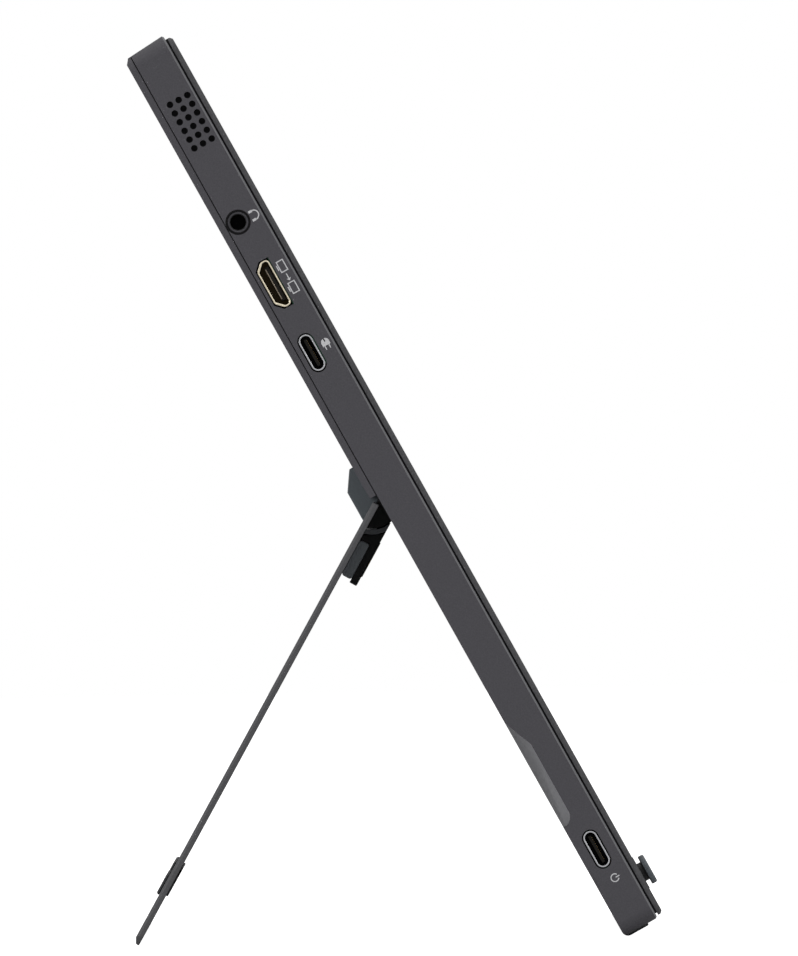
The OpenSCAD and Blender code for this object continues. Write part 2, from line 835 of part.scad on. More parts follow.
module board_screws() {
    color(steel) {
        for (x = board_boss_x, z = board_boss_z) screw(x, z, board_y - head_t, head_t, 3, 1);
        for (p = power_boss) screw(p[0], p[1], power_board_y - head_t, head_t, 2.6, 1);
    }
}

module headphone_jack() {
    x0 = -half_w + socket_edge + 0.2;
    x1 = -half_w + wall + 0.15;
    color(black) difference() {
        union() {
            rod_x(x0, x1 + eps, jack_y, jack_z, jack_nose_r);
            box(
                [x1, x1 + jack_body[0]], [jack_y - jack_body[1] / 2, jack_y + jack_body[1] / 2],
                [jack_z - jack_body[2] / 2, jack_z + jack_body[2] / 2]
            );
        }
        rod_x(x0 - 1, x0 + jack_len, jack_y, jack_z, jack_r);
    }
}

module video_socket_shell() {
    x0 = -half_w + socket_edge;
    color(gold) difference() {
        across(x0, x0 + video_depth) video_outline(0);
        across(x0 - 1, x0 + video_depth - socket_wall) video_outline(-socket_wall);
    }
}

module video_socket_tongue() {
    x0 = -half_w + socket_edge;
    color(black) box(
        [x0 + 1.4, x0 + video_depth - socket_wall], [video_y - 1.05, video_y - 0.15],
        [video_z - 4.2, video_z + 4.2]
    );
}

module plug_shell(y, z) {
    x0 = -half_w + socket_edge;
    difference() {
        across(x0, x0 + plug_depth) stadium(y, z, plug_size);
        across(x0 - 1, x0 + plug_depth - socket_wall) stadium(y, z, plug_size, -socket_wall);
    }
}

module plug_tongue(y, z) {
    x0 = -half_w + socket_edge;
    box([x0 + 1.2, x0 + plug_depth - socket_wall], [y - 0.35, y + 0.35], [z - 3.34, z + 3.34]);
}

module data_socket_shell() {
    color(steel) plug_shell(data_y, data_z);
}

module data_socket_tongue() {
    color(black) plug_tongue(data_y, data_z);
}

module power_socket_shell() {
    color(steel) plug_shell(power_y, power_z);
}

module power_socket_tongue() {
    color(black) plug_tongue(power_y, power_z);
}

// ---- Speakers ----

// The right-hand speaker: a shallow case whose open side faces the grille
module speaker_case() {
    x1 = half_w - wall - cloth_t - foam_t;
    difference() {
        box(
            [x1 - speaker_d, x1], [speaker_y0, floor_y],
            [grille_z - speaker_h / 2, grille_z + speaker_h / 2]
        );
        mid = (speaker_y0 + floor_y) / 2;
        across(x1 - speaker_d + 1.5, x1 + 1) stadium(mid, grille_z, [cone_w + 0.6, cone_h + 0.6]);
    }
}

module speaker_left() {
    color(black) mirror([1, 0, 0]) speaker_case();
}

module speaker_right() {
    color(black) speaker_case();
}

module speaker_cones() {
    mid = (speaker_y0 + floor_y) / 2;
    x0 = half_w - wall - cloth_t - foam_t - speaker_d + 1.5;
    color([0.2, 0.2, 0.22]) both_sides() across(x0, x0 + 3) stadium(mid, grille_z, [cone_w, cone_h]);
}

// Black cloths behind the grilles
module speaker_cloths() {
    x1 = half_w - wall;
    color(black) both_sides() box(
        [x1 - cloth_t, x1], [cloth_y0, floor_y],
        [grille_z - speaker_h / 2, grille_z + speaker_h / 2]
    );
}

module speaker_gaskets() {
    x1 = half_w - wall - cloth_t;
    mid = (speaker_y0 + floor_y) / 2;
    color([0.15, 0.15, 0.15]) both_sides() difference() {
        box(
            [x1 - foam_t, x1], [speaker_y0, floor_y],
            [grille_z - speaker_h / 2, grille_z + speaker_h / 2]
        );
        across(x1 - foam_t - 1, x1 + 1) stadium(mid, grille_z, [cone_w + 2, cone_h + 0.8]);
    }
}

// ---- Hinge, fixed side ----

// The end walls stop on a line from the roof's edge to the recess, and the drum's ends start there
module cover_profile() {
    polygon([
        [shell_t, cover_z1], [body_t + cover_lip, cover_z1], [roof_y, cover_z1 - cover_slope],
        [roof_y, roof_z0], [shell_t, drum_cut_z]
    ]);
}

module hinge_cover() {
    color(slate) difference() {
        across(-half_cover, half_cover) cover_profile();
        across(-half_cover + cover_wall, half_cover - cover_wall)
            polygon([
                [shell_t - 1, cover_z1 - cover_wall],
                [body_t + cover_lip - 0.5, cover_z1 - cover_wall],
                [roof_inner, cover_z1 - cover_slope - 0.7], [roof_inner, 0], [shell_t - 1, 0]
            ]);
        both_sides() box([slot_x0, slot_x1], [0, roof_y + 1], [0, hinge_z - 0.5]);
    }
}

module hinge_drum() {
    color(black) difference() {
        union() {
            across(-half_cover + cover_wall, half_cover - cover_wall) intersection() {
                annulus(hinge_y, hinge_z, hollow_r, drum_r);
                translate([0, hinge_z - 2 * drum_r]) square([roof_inner, 2 * drum_r]);
            }
            both_sides() across(half_cover - cover_wall, half_cover) difference() {
                translate([hinge_y, hinge_z]) circle(drum_r);
                cover_profile();
                translate([roof_y, 0]) square(2 * hinge_z);
                translate([0, hinge_z]) square(2 * hinge_z);
            }
        }
        both_sides() box([slot_x0, slot_x1], [0, 2 * hinge_y], [0, hinge_z + drum_r]);
    }
}

module hinge_brackets() {
    x1 = knuckle_x + knuckle_w;
    color(steel) both_sides() difference() {
        union() {
            rod_x(knuckle_x, x1, hinge_y, hinge_z, barrel_r);
            box([knuckle_x, x1], [shell_t, shell_t + bracket_t], [hinge_z, bracket_z0 + 1]);
            box([knuckle_x - 1, bracket_x1], [shell_t, shell_t + bracket_t], [bracket_z0, bracket_z1]);
        }
        rod_x(0, half_w, hinge_y, hinge_z, shaft_r + run);
        for (x = bracket_screw_x) rod_y(x, bracket_screw_z, 0, past, screw_r + 0.15);
    }
}

module bracket_screws() {
    color(steel) both_sides() for (x = bracket_screw_x)
        screw(x, bracket_screw_z, shell_t + bracket_t + head_t, head_t, bracket_t + 3.4, -1);
}

// ---- Hinge, moving side, drawn closed ----

module hinge_arms() {
    x = [arm_x, arm_x + arm_w];
    color(steel) both_sides() difference() {
        union() {
            rod_x(x[0], x[1], hinge_y, hinge_z, barrel_r);
            box(x, [arm_y, web_y], [notch_z + 0.15, hinge_z]);
            box(x, [arm_y, plate_y], [housing_z1, notch_z + 1]);
            box(x, [leaf_y, plate_y], [leaf_z0, housing_z1 + eps]);
        }
        rod_x(0, half_w, hinge_y, hinge_z, shaft_r + fit);
        for (z = arm_screw_z) rod_y(arm_screw_x, z, 0, past, screw_r + fit);
    }
}

module arm_screws() {
    color(steel) both_sides() for (z = arm_screw_z)
        screw(arm_screw_x, z, leaf_y - head_t, head_t, plate_y - leaf_y + plate_t - 0.4, 1);
}

module hinge_shafts() {
    color(steel) both_sides() {
        rod_x(nut_x - 0.6, arm_x + arm_w, hinge_y, hinge_z, shaft_r);
        rod_x(arm_x + arm_w, arm_x + arm_w + shaft_head_t, hinge_y, hinge_z, washer_r);
    }
}

module friction_washers() {
    color([0.5, 0.45, 0.35]) both_sides() for (x = [washer_x, outer_washer_x])
        across(x, x + washer_t) annulus(hinge_y, hinge_z, shaft_r + fit, washer_r);
}

// Two cupped washers, rim to rim
module disc_springs() {
    dish = 0.15;
    color(steel) both_sides() translate([spring_x, hinge_y, hinge_z]) rotate([0, 90, 0])
        for (flip = [0, 1]) translate([0, 0, flip * spring_t]) mirror([0, 0, flip]) rotate_extrude()
            polygon([
                [shaft_r + fit, 0], [washer_r, dish], [washer_r, spring_t / 2],
                [shaft_r + fit, spring_t / 2 - dish]
            ]);
}

module lock_nuts() {
    color(steel) both_sides() translate([nut_x, hinge_y, hinge_z]) rotate([0, 90, 0]) difference() {
        cylinder(h = nut_t, r = barrel_r, $fn = 6);
        translate([0, 0, -1]) cylinder(h = nut_t + 2, r = shaft_r + fit);
    }
}

// ---- Stand, drawn closed ----

module stand_plate() {
    edge = half_w - plate_side;
    color(charcoal) difference() {
        layer(plate_y, body_t) difference() {
            translate([-edge, tip_z]) square([2 * edge, hinge_z + plate_up - tip_z]);
            translate([-half_cover - 0.5, notch_z]) square([cover_w + 1, 2 * saddle_r]);
            for (s = [-1, 1]) translate([s * edge, tip_z]) rotate(45) square(2 * sqrt(2), center = true);
        }
        across(-half_w, half_w)
            polygon([
                [body_t + 1, tip_z - 1], [tip_mid, tip_z - 1], [tip_mid, tip_z],
                [body_t, tip_z + tip_bevel], [body_t + 1, tip_z + tip_bevel]
            ]);
        both_sides() translate([edge, body_t, -1]) linear_extrude(hinge_z + 2) polygon([
            [-plate_bevel, 0], [0, -plate_bevel], [1, -plate_bevel], [1, 1], [-plate_bevel, 1]
        ]);
        both_sides() box(
            [grip_x0, grip_x0 + grip_len], [0, body_t + 1], [grip_z - grip_web / 2, grip_z + grip_web / 2]
        );
        both_sides() for (z = arm_screw_z)
            rod_y(arm_screw_x, z, plate_y - 1, body_t - 0.3, screw_r + fit);
    }
}

module grip_strips() {
    color(black) both_sides() {
        across(grip_x0 + fit, grip_x0 + grip_len - fit)
            translate([plate_y, grip_z - grip_web / 2 + fit]) square([plate_t, grip_web - 2 * fit]);
        across(grip_x0 - 1, grip_x0 + grip_len + 1) {
            translate([body_t, grip_z - grip_out[0] / 2]) square([grip_out[1], grip_out[0]]);
            translate([plate_y - grip_in[1], grip_z - grip_in[0] / 2]) square([grip_in[1], grip_in[0]]);
        }
    }
}

module tripod_block() {
    color(slate) difference() {
        across(-half_cover, half_cover) round_rect(cover_y, plate_y, housing_z0, housing_z1, 0.6);
        both_sides() box([arm_x - fit, arm_x + arm_w + fit], [leaf_y, plate_y + 1], [leaf_z0, hinge_z]);
        both_sides() for (z = arm_screw_z) rod_y(arm_screw_x, z, leaf_y - head_t, plate_y, head_r + 0.2);
        rod_y(0, insert_z, 0, past, tripod_r + insert_wall + fit);
        both_sides() for (x = cover_screw_x) rod_y(x, cover_screw_z, 0, plate_y - 0.6, screw_r + fit);
    }
}

module block_cover() {
    color(black) difference() {
        across(-half_cover, half_cover) difference() {
            polygon([
                [block_y, block_z0], [cover_y, block_z0], [cover_y, housing_z1], [plate_y, housing_z1],
                [plate_y, hinge_z], [block_y, hinge_z]
            ]);
            translate([hinge_y, hinge_z]) circle(saddle_r + saddle_t);
        }
        both_sides() box([arm_x - 0.1, arm_x + arm_w + 0.1], [arm_y - 0.1, past], [0, hinge_z]);
        both_sides() for (z = arm_screw_z) rod_y(arm_screw_x, z, cover_y - 0.2, plate_y, head_r + 0.2);
        rod_y(0, insert_z, 0, past, tripod_r + insert_wall + fit);
        both_sides() for (x = cover_screw_x) {
            rod_y(x, cover_screw_z, 0, past, screw_r + 0.1);
            rod_y(x, cover_screw_z, 0, block_y + head_t, head_r + fit);
        }
    }
}

// Saddle that closes the block's end round the drum
module block_saddle() {
    color([0.42, 0.43, 0.44]) difference() {
        across(-half_cover, half_cover) intersection() {
            annulus(hinge_y, hinge_z, saddle_r, saddle_r + saddle_t);
            translate([block_y, block_z0]) square([block_t, block_len - 2.2]);
        }
        both_sides() box([arm_x - 0.1, arm_x + arm_w + 0.1], [arm_y - 0.1, past], [0, hinge_z]);
    }
}

module tripod_insert() {
    r1 = tripod_r + insert_wall;
    color(gold) difference() {
        union() {
            rod_y(0, insert_z, block_y - insert_rim, plate_y, r1);
            rod_y(0, insert_z, block_y - insert_rim, block_y, r1 + 0.5);
        }
        rod_y(0, insert_z, 0, past, tripod_r);
    }
}

module cover_screws() {
    color(steel) both_sides() for (x = cover_screw_x)
        screw(x, cover_screw_z, block_y, head_t, plate_y - 0.8 - block_y - head_t, 1);
}

// ---- Navigation stick ----

module nav_switch_base() {
    h = nav_base / 2;
    y1 = power_board_y;
    color(steel) difference() {
        box([nav_x - h, nav_x + h], [nav_base_y, y1], [nav_z - h, nav_z + h]);
        rod_y(nav_x, nav_z, nav_base_y + nav_roof, y1 - nav_floor, nav_hollow_r);
        rod_y(nav_x, nav_z, 0, nav_base_y + 1, nav_hole_r);
        rod_x(nav_x - h - 1, nav_x + h + 1, nav_pivot_y, nav_z, pin_r + 0.04);
    }
}

module nav_gimbal_ring() {
    color([0.75, 0.75, 0.7]) difference() {
        union() {
            rod_y(nav_x, nav_z, nav_pivot_y - ring_t / 2, nav_pivot_y + ring_t / 2, ring_r[1]);
            reach = ring_r[1] + pin_len;
            rod_x(nav_x - reach, nav_x + reach, nav_pivot_y, nav_z, pin_r);
        }
        rod_y(nav_x, nav_z, 0, 10, ring_r[0]);
        translate([nav_x, nav_pivot_y, nav_z - 5]) cylinder(h = 10, r = pin_r + 0.04);
    }
}

module nav_cup() {
    color(black) difference() {
        union() {
            rod_y(nav_x, nav_z, cup_y[0], cup_y[1], cup_r);
            reach = ring_r[1] - 0.1;
            translate([nav_x, nav_pivot_y, nav_z - reach]) cylinder(h = 2 * reach, r = pin_r);
        }
        rod_y(nav_x, nav_z, 0, 10, plunger_r + 0.04);
    }
}

module nav_plunger() {
    color([0.85, 0.85, 0.82]) rod_y(nav_x, nav_z, neck_end, plunger_end, plunger_r);
}

module nav_cap() {
    y0 = -nav_proud;
    color(slate) {
        rod_y(nav_x, nav_z, y0 + nav_cap_t - eps, neck_end, nav_neck_r);
        translate([nav_x, y0, nav_z]) rotate([-90, 0, 0]) rotate_extrude()
            polygon([
                [0, 0], [nav_cap_r - 0.25, 0], [nav_cap_r, 0.25], [nav_cap_r, nav_cap_t - 0.15],
                [nav_cap_r - 0.15, nav_cap_t], [0, nav_cap_t]
            ]);
    }
}

// ---- Pieces in their places ----

leaned() front_bezel();
leaned() screen_gasket();
leaned() screen_glass();
leaned() diffuser_sheets();
leaned() light_guide();
leaned() reflector_sheet();
leaned() led_strip();
leaned() backlight_tray();
leaned() timing_board();
leaned() screen_flexes();
leaned() display_cable();
leaned() rear_shell();
leaned() rear_panel();
leaned() foot_strips();
leaned() case_screws();
leaned() main_board();
leaned() board_chips();
leaned() shield_can();
leaned() power_board();
leaned() power_cable();
leaned() board_screws();
leaned() headphone_jack();
leaned() video_socket_shell();
leaned() video_socket_tongue();
leaned() data_socket_shell();
leaned() data_socket_tongue();
leaned() power_socket_shell();
leaned() power_socket_tongue();
leaned() speaker_left();
leaned() speaker_right();
leaned() speaker_cones();
leaned() speaker_cloths();
leaned() speaker_gaskets();
leaned() hinge_cover();
leaned() hinge_drum();
leaned() hinge_brackets();
leaned() bracket_screws();
opened() stand_plate();
opened() grip_strips();
opened() hinge_arms();
opened() arm_screws();
opened() hinge_shafts();
opened() friction_washers();
opened() disc_springs();
opened() lock_nuts();
opened() tripod_block();
opened() block_cover();
opened() block_saddle();
opened() tripod_insert();
opened() cover_screws();
leaned() nav_switch_base();
leaned() nav_gimbal_ring();
leaned() nav_cup();
leaned() nav_plunger();
leaned() nav_cap();
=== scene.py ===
# %% [markdown]
# # A portable monitor on its folding stand plate
#
# The real object is a slim 15.6 inch class monitor that leans back on a thin plate. The plate is hinged
# half-way up the back and closes flush over the lower half. The solids come from the CAD model, and this
# notebook gives them their finishes and adds what a photograph shows and a solid doesn't: soft edges, marks
# beside the sockets, contacts, screw recesses, a thread and ribs.
#
# The shapes could all be modelled here. They are loaded instead, because the CAD model has the exact sizes
# and also says how the pieces move.

# %% Load the frame
import json
import math

import bmesh
import bpy
from mathutils import Matrix, Vector


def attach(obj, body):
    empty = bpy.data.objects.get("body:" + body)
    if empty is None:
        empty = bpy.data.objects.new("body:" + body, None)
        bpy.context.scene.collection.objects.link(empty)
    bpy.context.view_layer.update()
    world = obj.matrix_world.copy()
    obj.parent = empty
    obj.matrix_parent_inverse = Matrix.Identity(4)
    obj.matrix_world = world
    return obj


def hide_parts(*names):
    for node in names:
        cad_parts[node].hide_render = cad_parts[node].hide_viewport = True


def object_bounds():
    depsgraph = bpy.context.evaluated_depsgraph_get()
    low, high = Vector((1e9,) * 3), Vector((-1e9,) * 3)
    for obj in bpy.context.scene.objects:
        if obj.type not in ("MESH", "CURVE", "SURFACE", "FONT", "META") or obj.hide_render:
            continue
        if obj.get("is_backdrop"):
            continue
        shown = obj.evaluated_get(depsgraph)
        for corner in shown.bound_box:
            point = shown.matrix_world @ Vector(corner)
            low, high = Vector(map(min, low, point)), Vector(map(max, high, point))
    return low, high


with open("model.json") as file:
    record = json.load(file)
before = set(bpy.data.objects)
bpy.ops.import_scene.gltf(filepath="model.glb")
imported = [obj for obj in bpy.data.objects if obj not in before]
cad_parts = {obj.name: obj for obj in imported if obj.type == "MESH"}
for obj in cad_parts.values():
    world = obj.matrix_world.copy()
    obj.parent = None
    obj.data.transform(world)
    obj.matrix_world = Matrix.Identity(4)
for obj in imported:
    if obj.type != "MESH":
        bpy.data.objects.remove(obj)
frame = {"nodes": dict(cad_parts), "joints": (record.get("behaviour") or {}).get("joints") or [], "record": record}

cad_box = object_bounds()
scene = bpy.context.scene
scene.view_settings.view_transform = "Standard"

# %% [markdown]
# ## Where things are on the monitor
#
# The monitor leans back, so a piece is much easier to place in its own directions: across the width, deep
# from the bezel's face to the back, and up from the shell's bottom edge. The frame's joints hold those
# directions: the navigation stick is pressed along "deep" and tilts about "across" and "up". Numbers below
# are in millimetres, as on a drawing, and these two matrices turn them into places in the scene.

# %% Directions of the monitor and of its stand
joints = {joint["name"]: joint for joint in frame["joints"]}
across = Vector((1, 0, 0))
deep = Vector(joints["nav_press"]["axis"])
up = Vector(joints["nav_tilt_left_right"]["axis"])
stick_mm = Vector((-167, 3.65, 10.5))
turn = Matrix((across, deep, up)).transposed().to_4x4()
MM = Matrix.Scale(0.001, 4)
MONITOR = Matrix.Translation(Vector(joints["nav_press"].get("pos_m") or joints["nav_tilt_up_down"]["pos_m"]))
MONITOR = MONITOR @ turn @ MM @ Matrix.Translation(-stick_mm)

hinge_mm = MONITOR.inverted() @ Vector(joints["stand_hinge"]["pos_m"])
opening = -math.radians(joints["stand_hinge"]["range_deg"][0])
STAND = MONITOR @ Matrix.Translation(hinge_mm) @ Matrix.Rotation(opening, 4, "X")
STAND = STAND @ Matrix.Translation(-hinge_mm)
lean = math.atan2(up.y, up.z)
print(f"lean {math.degrees(lean):.2f}, opening {math.degrees(opening):.1f} degrees")
print("hinge axis at", [round(v, 2) for v in hinge_mm], "mm")

# %% Places on the side wall
WALL_X = -181
RIM_X = -180.7
JACK, VIDEO, DATA, POWER = (7.4, 182.5), (7.45, 166.4), (7.25, 148.8), (6.05, 20.2)
print("centres of the openings, (deep, up) in mm:", JACK, VIDEO, DATA, POWER)

# %% [markdown]
# ## Camera
#
# The photograph is a straight side view with hardly any perspective, so a long lens stands far away. One point of
# the near side is known to lie at the picture's centre, and the camera looks along the width through it. A small
# roll matches the photograph's own tilt. Moving back and using a longer lens together keeps the size the same
# while it flattens the view. Seven metres is flat enough.

# %% Camera
PX_PER_MM = 4.45
DISTANCE_MM = 7000
LONG_SIDE_PX = 956
CENTRE_MM = Vector((-181, 3.98, 114.67))
ROLL = math.radians(29.29) - lean

camera_data = bpy.data.cameras.new("side_camera")
camera_data.sensor_width = 36
camera_data.lens = PX_PER_MM * DISTANCE_MM * camera_data.sensor_width / LONG_SIDE_PX
camera_data.clip_end = 100
camera = bpy.data.objects.new("side_camera", camera_data)
scene.collection.objects.link(camera)
right = Vector((0, -math.cos(ROLL), -math.sin(ROLL)))
above = Vector((0, -math.sin(ROLL), math.cos(ROLL)))
camera.matrix_world = Matrix((right, above, -across)).transposed().to_4x4()
camera.location = MONITOR @ CENTRE_MM - across * DISTANCE_MM / 1000
scene.camera = camera
print(f"lens {camera_data.lens:.0f} mm, camera height {camera.location.z * 1000:.0f} mm")

# %% [markdown]
# ## Floor, backdrop and light
#
# The photograph is a cut-out on white. The world is white where the camera looks at it directly, and a soft
# grey where it lights the object. The floor is a pale diffuse plane that also glows a little for the
# camera, so that it runs into the backdrop and still keeps a faint shadow. Four lamps stand in for
# softboxes: one overhead, one behind the camera that reaches straight into the hinge, one in front of the
# screen and one behind it. The one behind the camera gives no highlights, which would be glare on every
# face that looks at the camera.

# %% Node helpers
def add_node(tree, kind, values=None, **settings):
    made = tree.nodes.new(kind)
    for key, value in settings.items():
        setattr(made, key, value)
    for key, value in (values or {}).items():
        made.inputs[key].default_value = value
    return made


def new_material(name):
    material = bpy.data.materials.new(name)
    material.use_nodes = True
    tree = material.node_tree
    tree.nodes.clear()
    return material, tree, add_node(tree, "ShaderNodeOutputMaterial")


# %% World
world = bpy.data.worlds.new("white_studio")
scene.world = world
world.use_nodes = True
tree = world.node_tree
tree.nodes.clear()
paths = add_node(tree, "ShaderNodeLightPath")
seen = add_node(tree, "ShaderNodeMath", operation="MAXIMUM")
seen_too = add_node(tree, "ShaderNodeMath", operation="MAXIMUM")
tree.links.new(paths.outputs["Is Camera Ray"], seen.inputs[0])
tree.links.new(paths.outputs["Is Transmission Ray"], seen.inputs[1])
tree.links.new(seen.outputs[0], seen_too.inputs[0])
tree.links.new(paths.outputs["Is Glossy Ray"], seen_too.inputs[1])
soft = add_node(tree, "ShaderNodeBackground", {"Color": (1, 1, 1, 1), "Strength": 0.3})
white = add_node(tree, "ShaderNodeBackground", {"Color": (1, 1, 1, 1), "Strength": 1.0})
mixed = add_node(tree, "ShaderNodeMixShader")
output = add_node(tree, "ShaderNodeOutputWorld")
tree.links.new(seen_too.outputs[0], mixed.inputs[0])
tree.links.new(soft.outputs[0], mixed.inputs[1])
tree.links.new(white.outputs[0], mixed.inputs[2])
tree.links.new(mixed.outputs[0], output.inputs[0])

# %% Floor
floor_mesh = bpy.data.meshes.new("studio_floor")
floor_mesh.from_pydata([(-8, -8, 0), (8, -8, 0), (8, 8, 0), (-8, 8, 0)], [], [(0, 1, 2, 3)])
floor = bpy.data.objects.new("studio_floor", floor_mesh)
scene.collection.objects.link(floor)
floor.location.z = -0.0001
pale, tree, output = new_material("pale_floor")
paint = add_node(tree, "ShaderNodeBsdfDiffuse", {"Color": (0.82, 0.82, 0.82, 1)})
glow = add_node(tree, "ShaderNodeEmission", {"Color": (1, 1, 1, 1), "Strength": 1.0})
both = add_node(tree, "ShaderNodeAddShader")
paths = add_node(tree, "ShaderNodeLightPath")
choose = add_node(tree, "ShaderNodeMixShader")
tree.links.new(paint.outputs[0], both.inputs[0])
tree.links.new(glow.outputs[0], both.inputs[1])
tree.links.new(paths.outputs["Is Camera Ray"], choose.inputs[0])
tree.links.new(paint.outputs[0], choose.inputs[1])
tree.links.new(both.outputs[0], choose.inputs[2])
tree.links.new(choose.outputs[0], output.inputs[0])
floor_mesh.materials.append(pale)
floor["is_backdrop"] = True


# %% Softboxes
def softbox(name, place, target, size, watts):
    data = bpy.data.lights.new(name, "AREA")
    data.shape = "SQUARE"
    data.size = size
    data.energy = watts
    lamp = bpy.data.objects.new(name, data)
    scene.collection.objects.link(lamp)
    lamp.location = place
    lamp.rotation_mode = "QUATERNION"
    lamp.rotation_quaternion = (Vector(target) - Vector(place)).to_track_quat("-Z", "Y")
    return lamp


softbox("overhead_box", (-0.3, 0.2, 2.0), (0, 0, 0.1), 1.6, 16)
fill = softbox("camera_box", (-5.0, 0.03, 0.13), (-0.18, 0, 0.11), 0.6, 100)
fill.visible_glossy = False
softbox("front_box", (-1.6, -2.2, 0.9), (-0.1, 0, 0.1), 1.4, 20)
softbox("back_box", (-1.6, 2.2, 0.3), (-0.1, 0, 0.1), 1.0, 34)
print("floor, world and four softboxes")

# %% [markdown]
# ## Finishes
#
# The housing is charcoal with a very fine sandy texture, and the stand plate has the same finish on metal.
# Black trim, rubber, plated metal and the screen are each a variation of it. A picture could give the
# texture, but noise on Object coordinates works at any distance, needs no file and follows each piece when
# it moves. Every finish has its own grain size, colour variation and bump.

# %% Grained finish
def srgb(*levels):
    """Linear colour of 0 to 255 screen levels."""
    return tuple(((v / 255 + 0.055) / 1.055) ** 2.4 if v > 10 else v / 255 / 12.92 for v in levels) + (1,)


def grained(name, colour, roughness, grain_mm, bump_mm=0.01, tone=0.12, patch=0.04, metallic=0.0,
            specular=0.5, stretch=(1, 1, 1)):
    """A moulded or coated surface: fine grain in colour and bump, and a slow change in roughness."""
    material, tree, output = new_material(name)
    shader = add_node(tree, "ShaderNodeBsdfPrincipled",
                      {"Metallic": metallic, "Specular IOR Level": specular})
    place = add_node(tree, "ShaderNodeTexCoord")
    stretched = add_node(tree, "ShaderNodeMapping", {"Scale": stretch})
    tree.links.new(place.outputs["Object"], stretched.inputs["Vector"])
    grain = add_node(tree, "ShaderNodeTexNoise", {"Scale": 1000 / grain_mm, "Detail": 3.0, "Roughness": 0.6})
    slow = add_node(tree, "ShaderNodeTexNoise", {"Scale": 22.0, "Detail": 2.0})
    tree.links.new(stretched.outputs[0], grain.inputs["Vector"])
    tree.links.new(place.outputs["Object"], slow.inputs["Vector"])
    ramp = add_node(tree, "ShaderNodeValToRGB")
    ramp.color_ramp.elements[0].position = 0.3
    ramp.color_ramp.elements[1].position = 0.7
    ramp.color_ramp.elements[0].color = tuple(c * (1 - tone) for c in colour[:3]) + (1,)
    ramp.color_ramp.elements[1].color = tuple(c * (1 + tone) for c in colour[:3]) + (1,)
    tree.links.new(grain.outputs[0], ramp.inputs[0])
    spread = add_node(tree, "ShaderNodeMapRange",
                      {"To Min": roughness - patch, "To Max": roughness + patch})
    tree.links.new(slow.outputs[0], spread.inputs[0])
    bump = add_node(tree, "ShaderNodeBump", {"Strength": 0.6, "Distance": bump_mm / 1000})
    tree.links.new(grain.outputs[0], bump.inputs["Height"])
    tree.links.new(ramp.outputs[0], shader.inputs["Base Color"])
    tree.links.new(spread.outputs[0], shader.inputs["Roughness"])
    tree.links.new(bump.outputs[0], shader.inputs["Normal"])
    tree.links.new(shader.outputs[0], output.inputs[0])
    return material


# %% The object's finishes, one for each of the record's slots
finishes = {
    "housing": grained("charcoal_housing", srgb(57, 56, 60), 0.55, 0.35, 0.012, 0.14, specular=0.3),
    "hinge_trim": grained("slate_trim", srgb(76, 81, 85), 0.5, 0.3, 0.008, 0.08, specular=0.35),
    "black_plastic": grained("black_trim", srgb(18, 18, 19), 0.45, 0.25, 0.006, 0.1, specular=0.3),
    # Painted light: the saddle's grey is raised well above the trim's slate for the light on its curved face
    "saddle_grey": grained("painted_light_saddle", srgb(98, 100, 104), 0.45, 0.3, 0.006, 0.06),
    "stand_paint": grained("stand_coating", srgb(64, 64, 66), 0.5, 0.3, 0.01, 0.12, metallic=0.2,
                           specular=0.35),
    "screen": grained("dark_screen", srgb(10, 10, 12), 0.3, 0.06, 0.001, 0.1, 0.02, specular=0.12),
    "sheet_white": grained("white_sheet", srgb(225, 225, 225), 0.6, 0.5, 0.002, 0.02),
    "guide_clear": grained("light_guide_plastic", srgb(214, 222, 226), 0.2, 0.8, 0.001, 0.02),
    "tray_metal": grained("tray_sheet", srgb(170, 172, 174), 0.35, 0.4, 0.003, 0.05, metallic=1.0,
                          stretch=(0.06, 1, 1)),
    "led_white": grained("led_strip_white", srgb(226, 222, 196), 0.5, 0.4, 0.002, 0.03),
    "foam": grained("black_foam", srgb(20, 20, 21), 0.95, 0.5, 0.05, 0.3, specular=0.1),
    "rubber": grained("black_rubber", srgb(27, 28, 30), 0.65, 0.2, 0.008, 0.12, specular=0.3),
    "board": grained("board_green", srgb(24, 72, 50), 0.4, 0.6, 0.004, 0.18),
    "flex": grained("amber_flex", srgb(124, 84, 42), 0.35, 0.6, 0.002, 0.08),
    "steel": grained("plain_steel", srgb(176, 177, 180), 0.32, 0.25, 0.002, 0.05, metallic=1.0,
                     stretch=(1, 1, 0.12)),
    "screw_black": grained("black_steel", srgb(54, 55, 57), 0.38, 0.25, 0.002, 0.06, metallic=0.8),
    "brass": grained("brass_insert", srgb(196, 158, 92), 0.3, 0.3, 0.002, 0.06, metallic=1.0),
    "gold_plate": grained("gold_plating", srgb(214, 182, 120), 0.26, 0.3, 0.001, 0.04, metallic=1.0),
    "bronze": grained("dull_bronze", srgb(150, 124, 86), 0.4, 0.3, 0.003, 0.08, metallic=1.0),
    "nylon": grained("pale_nylon", srgb(206, 204, 196), 0.45, 0.4, 0.002, 0.03),
}


def refinish(node, material):
    for material_slot in frame["nodes"][node].material_slots:
        material_slot.material = material


for part in frame["record"]["subparts"]:
    solid = frame["nodes"][part["node"]]
    if not solid.material_slots:
        solid.data.materials.append(None)
    refinish(part["node"], finishes[part["material_slot"]])
print("finishes:", len(finishes))
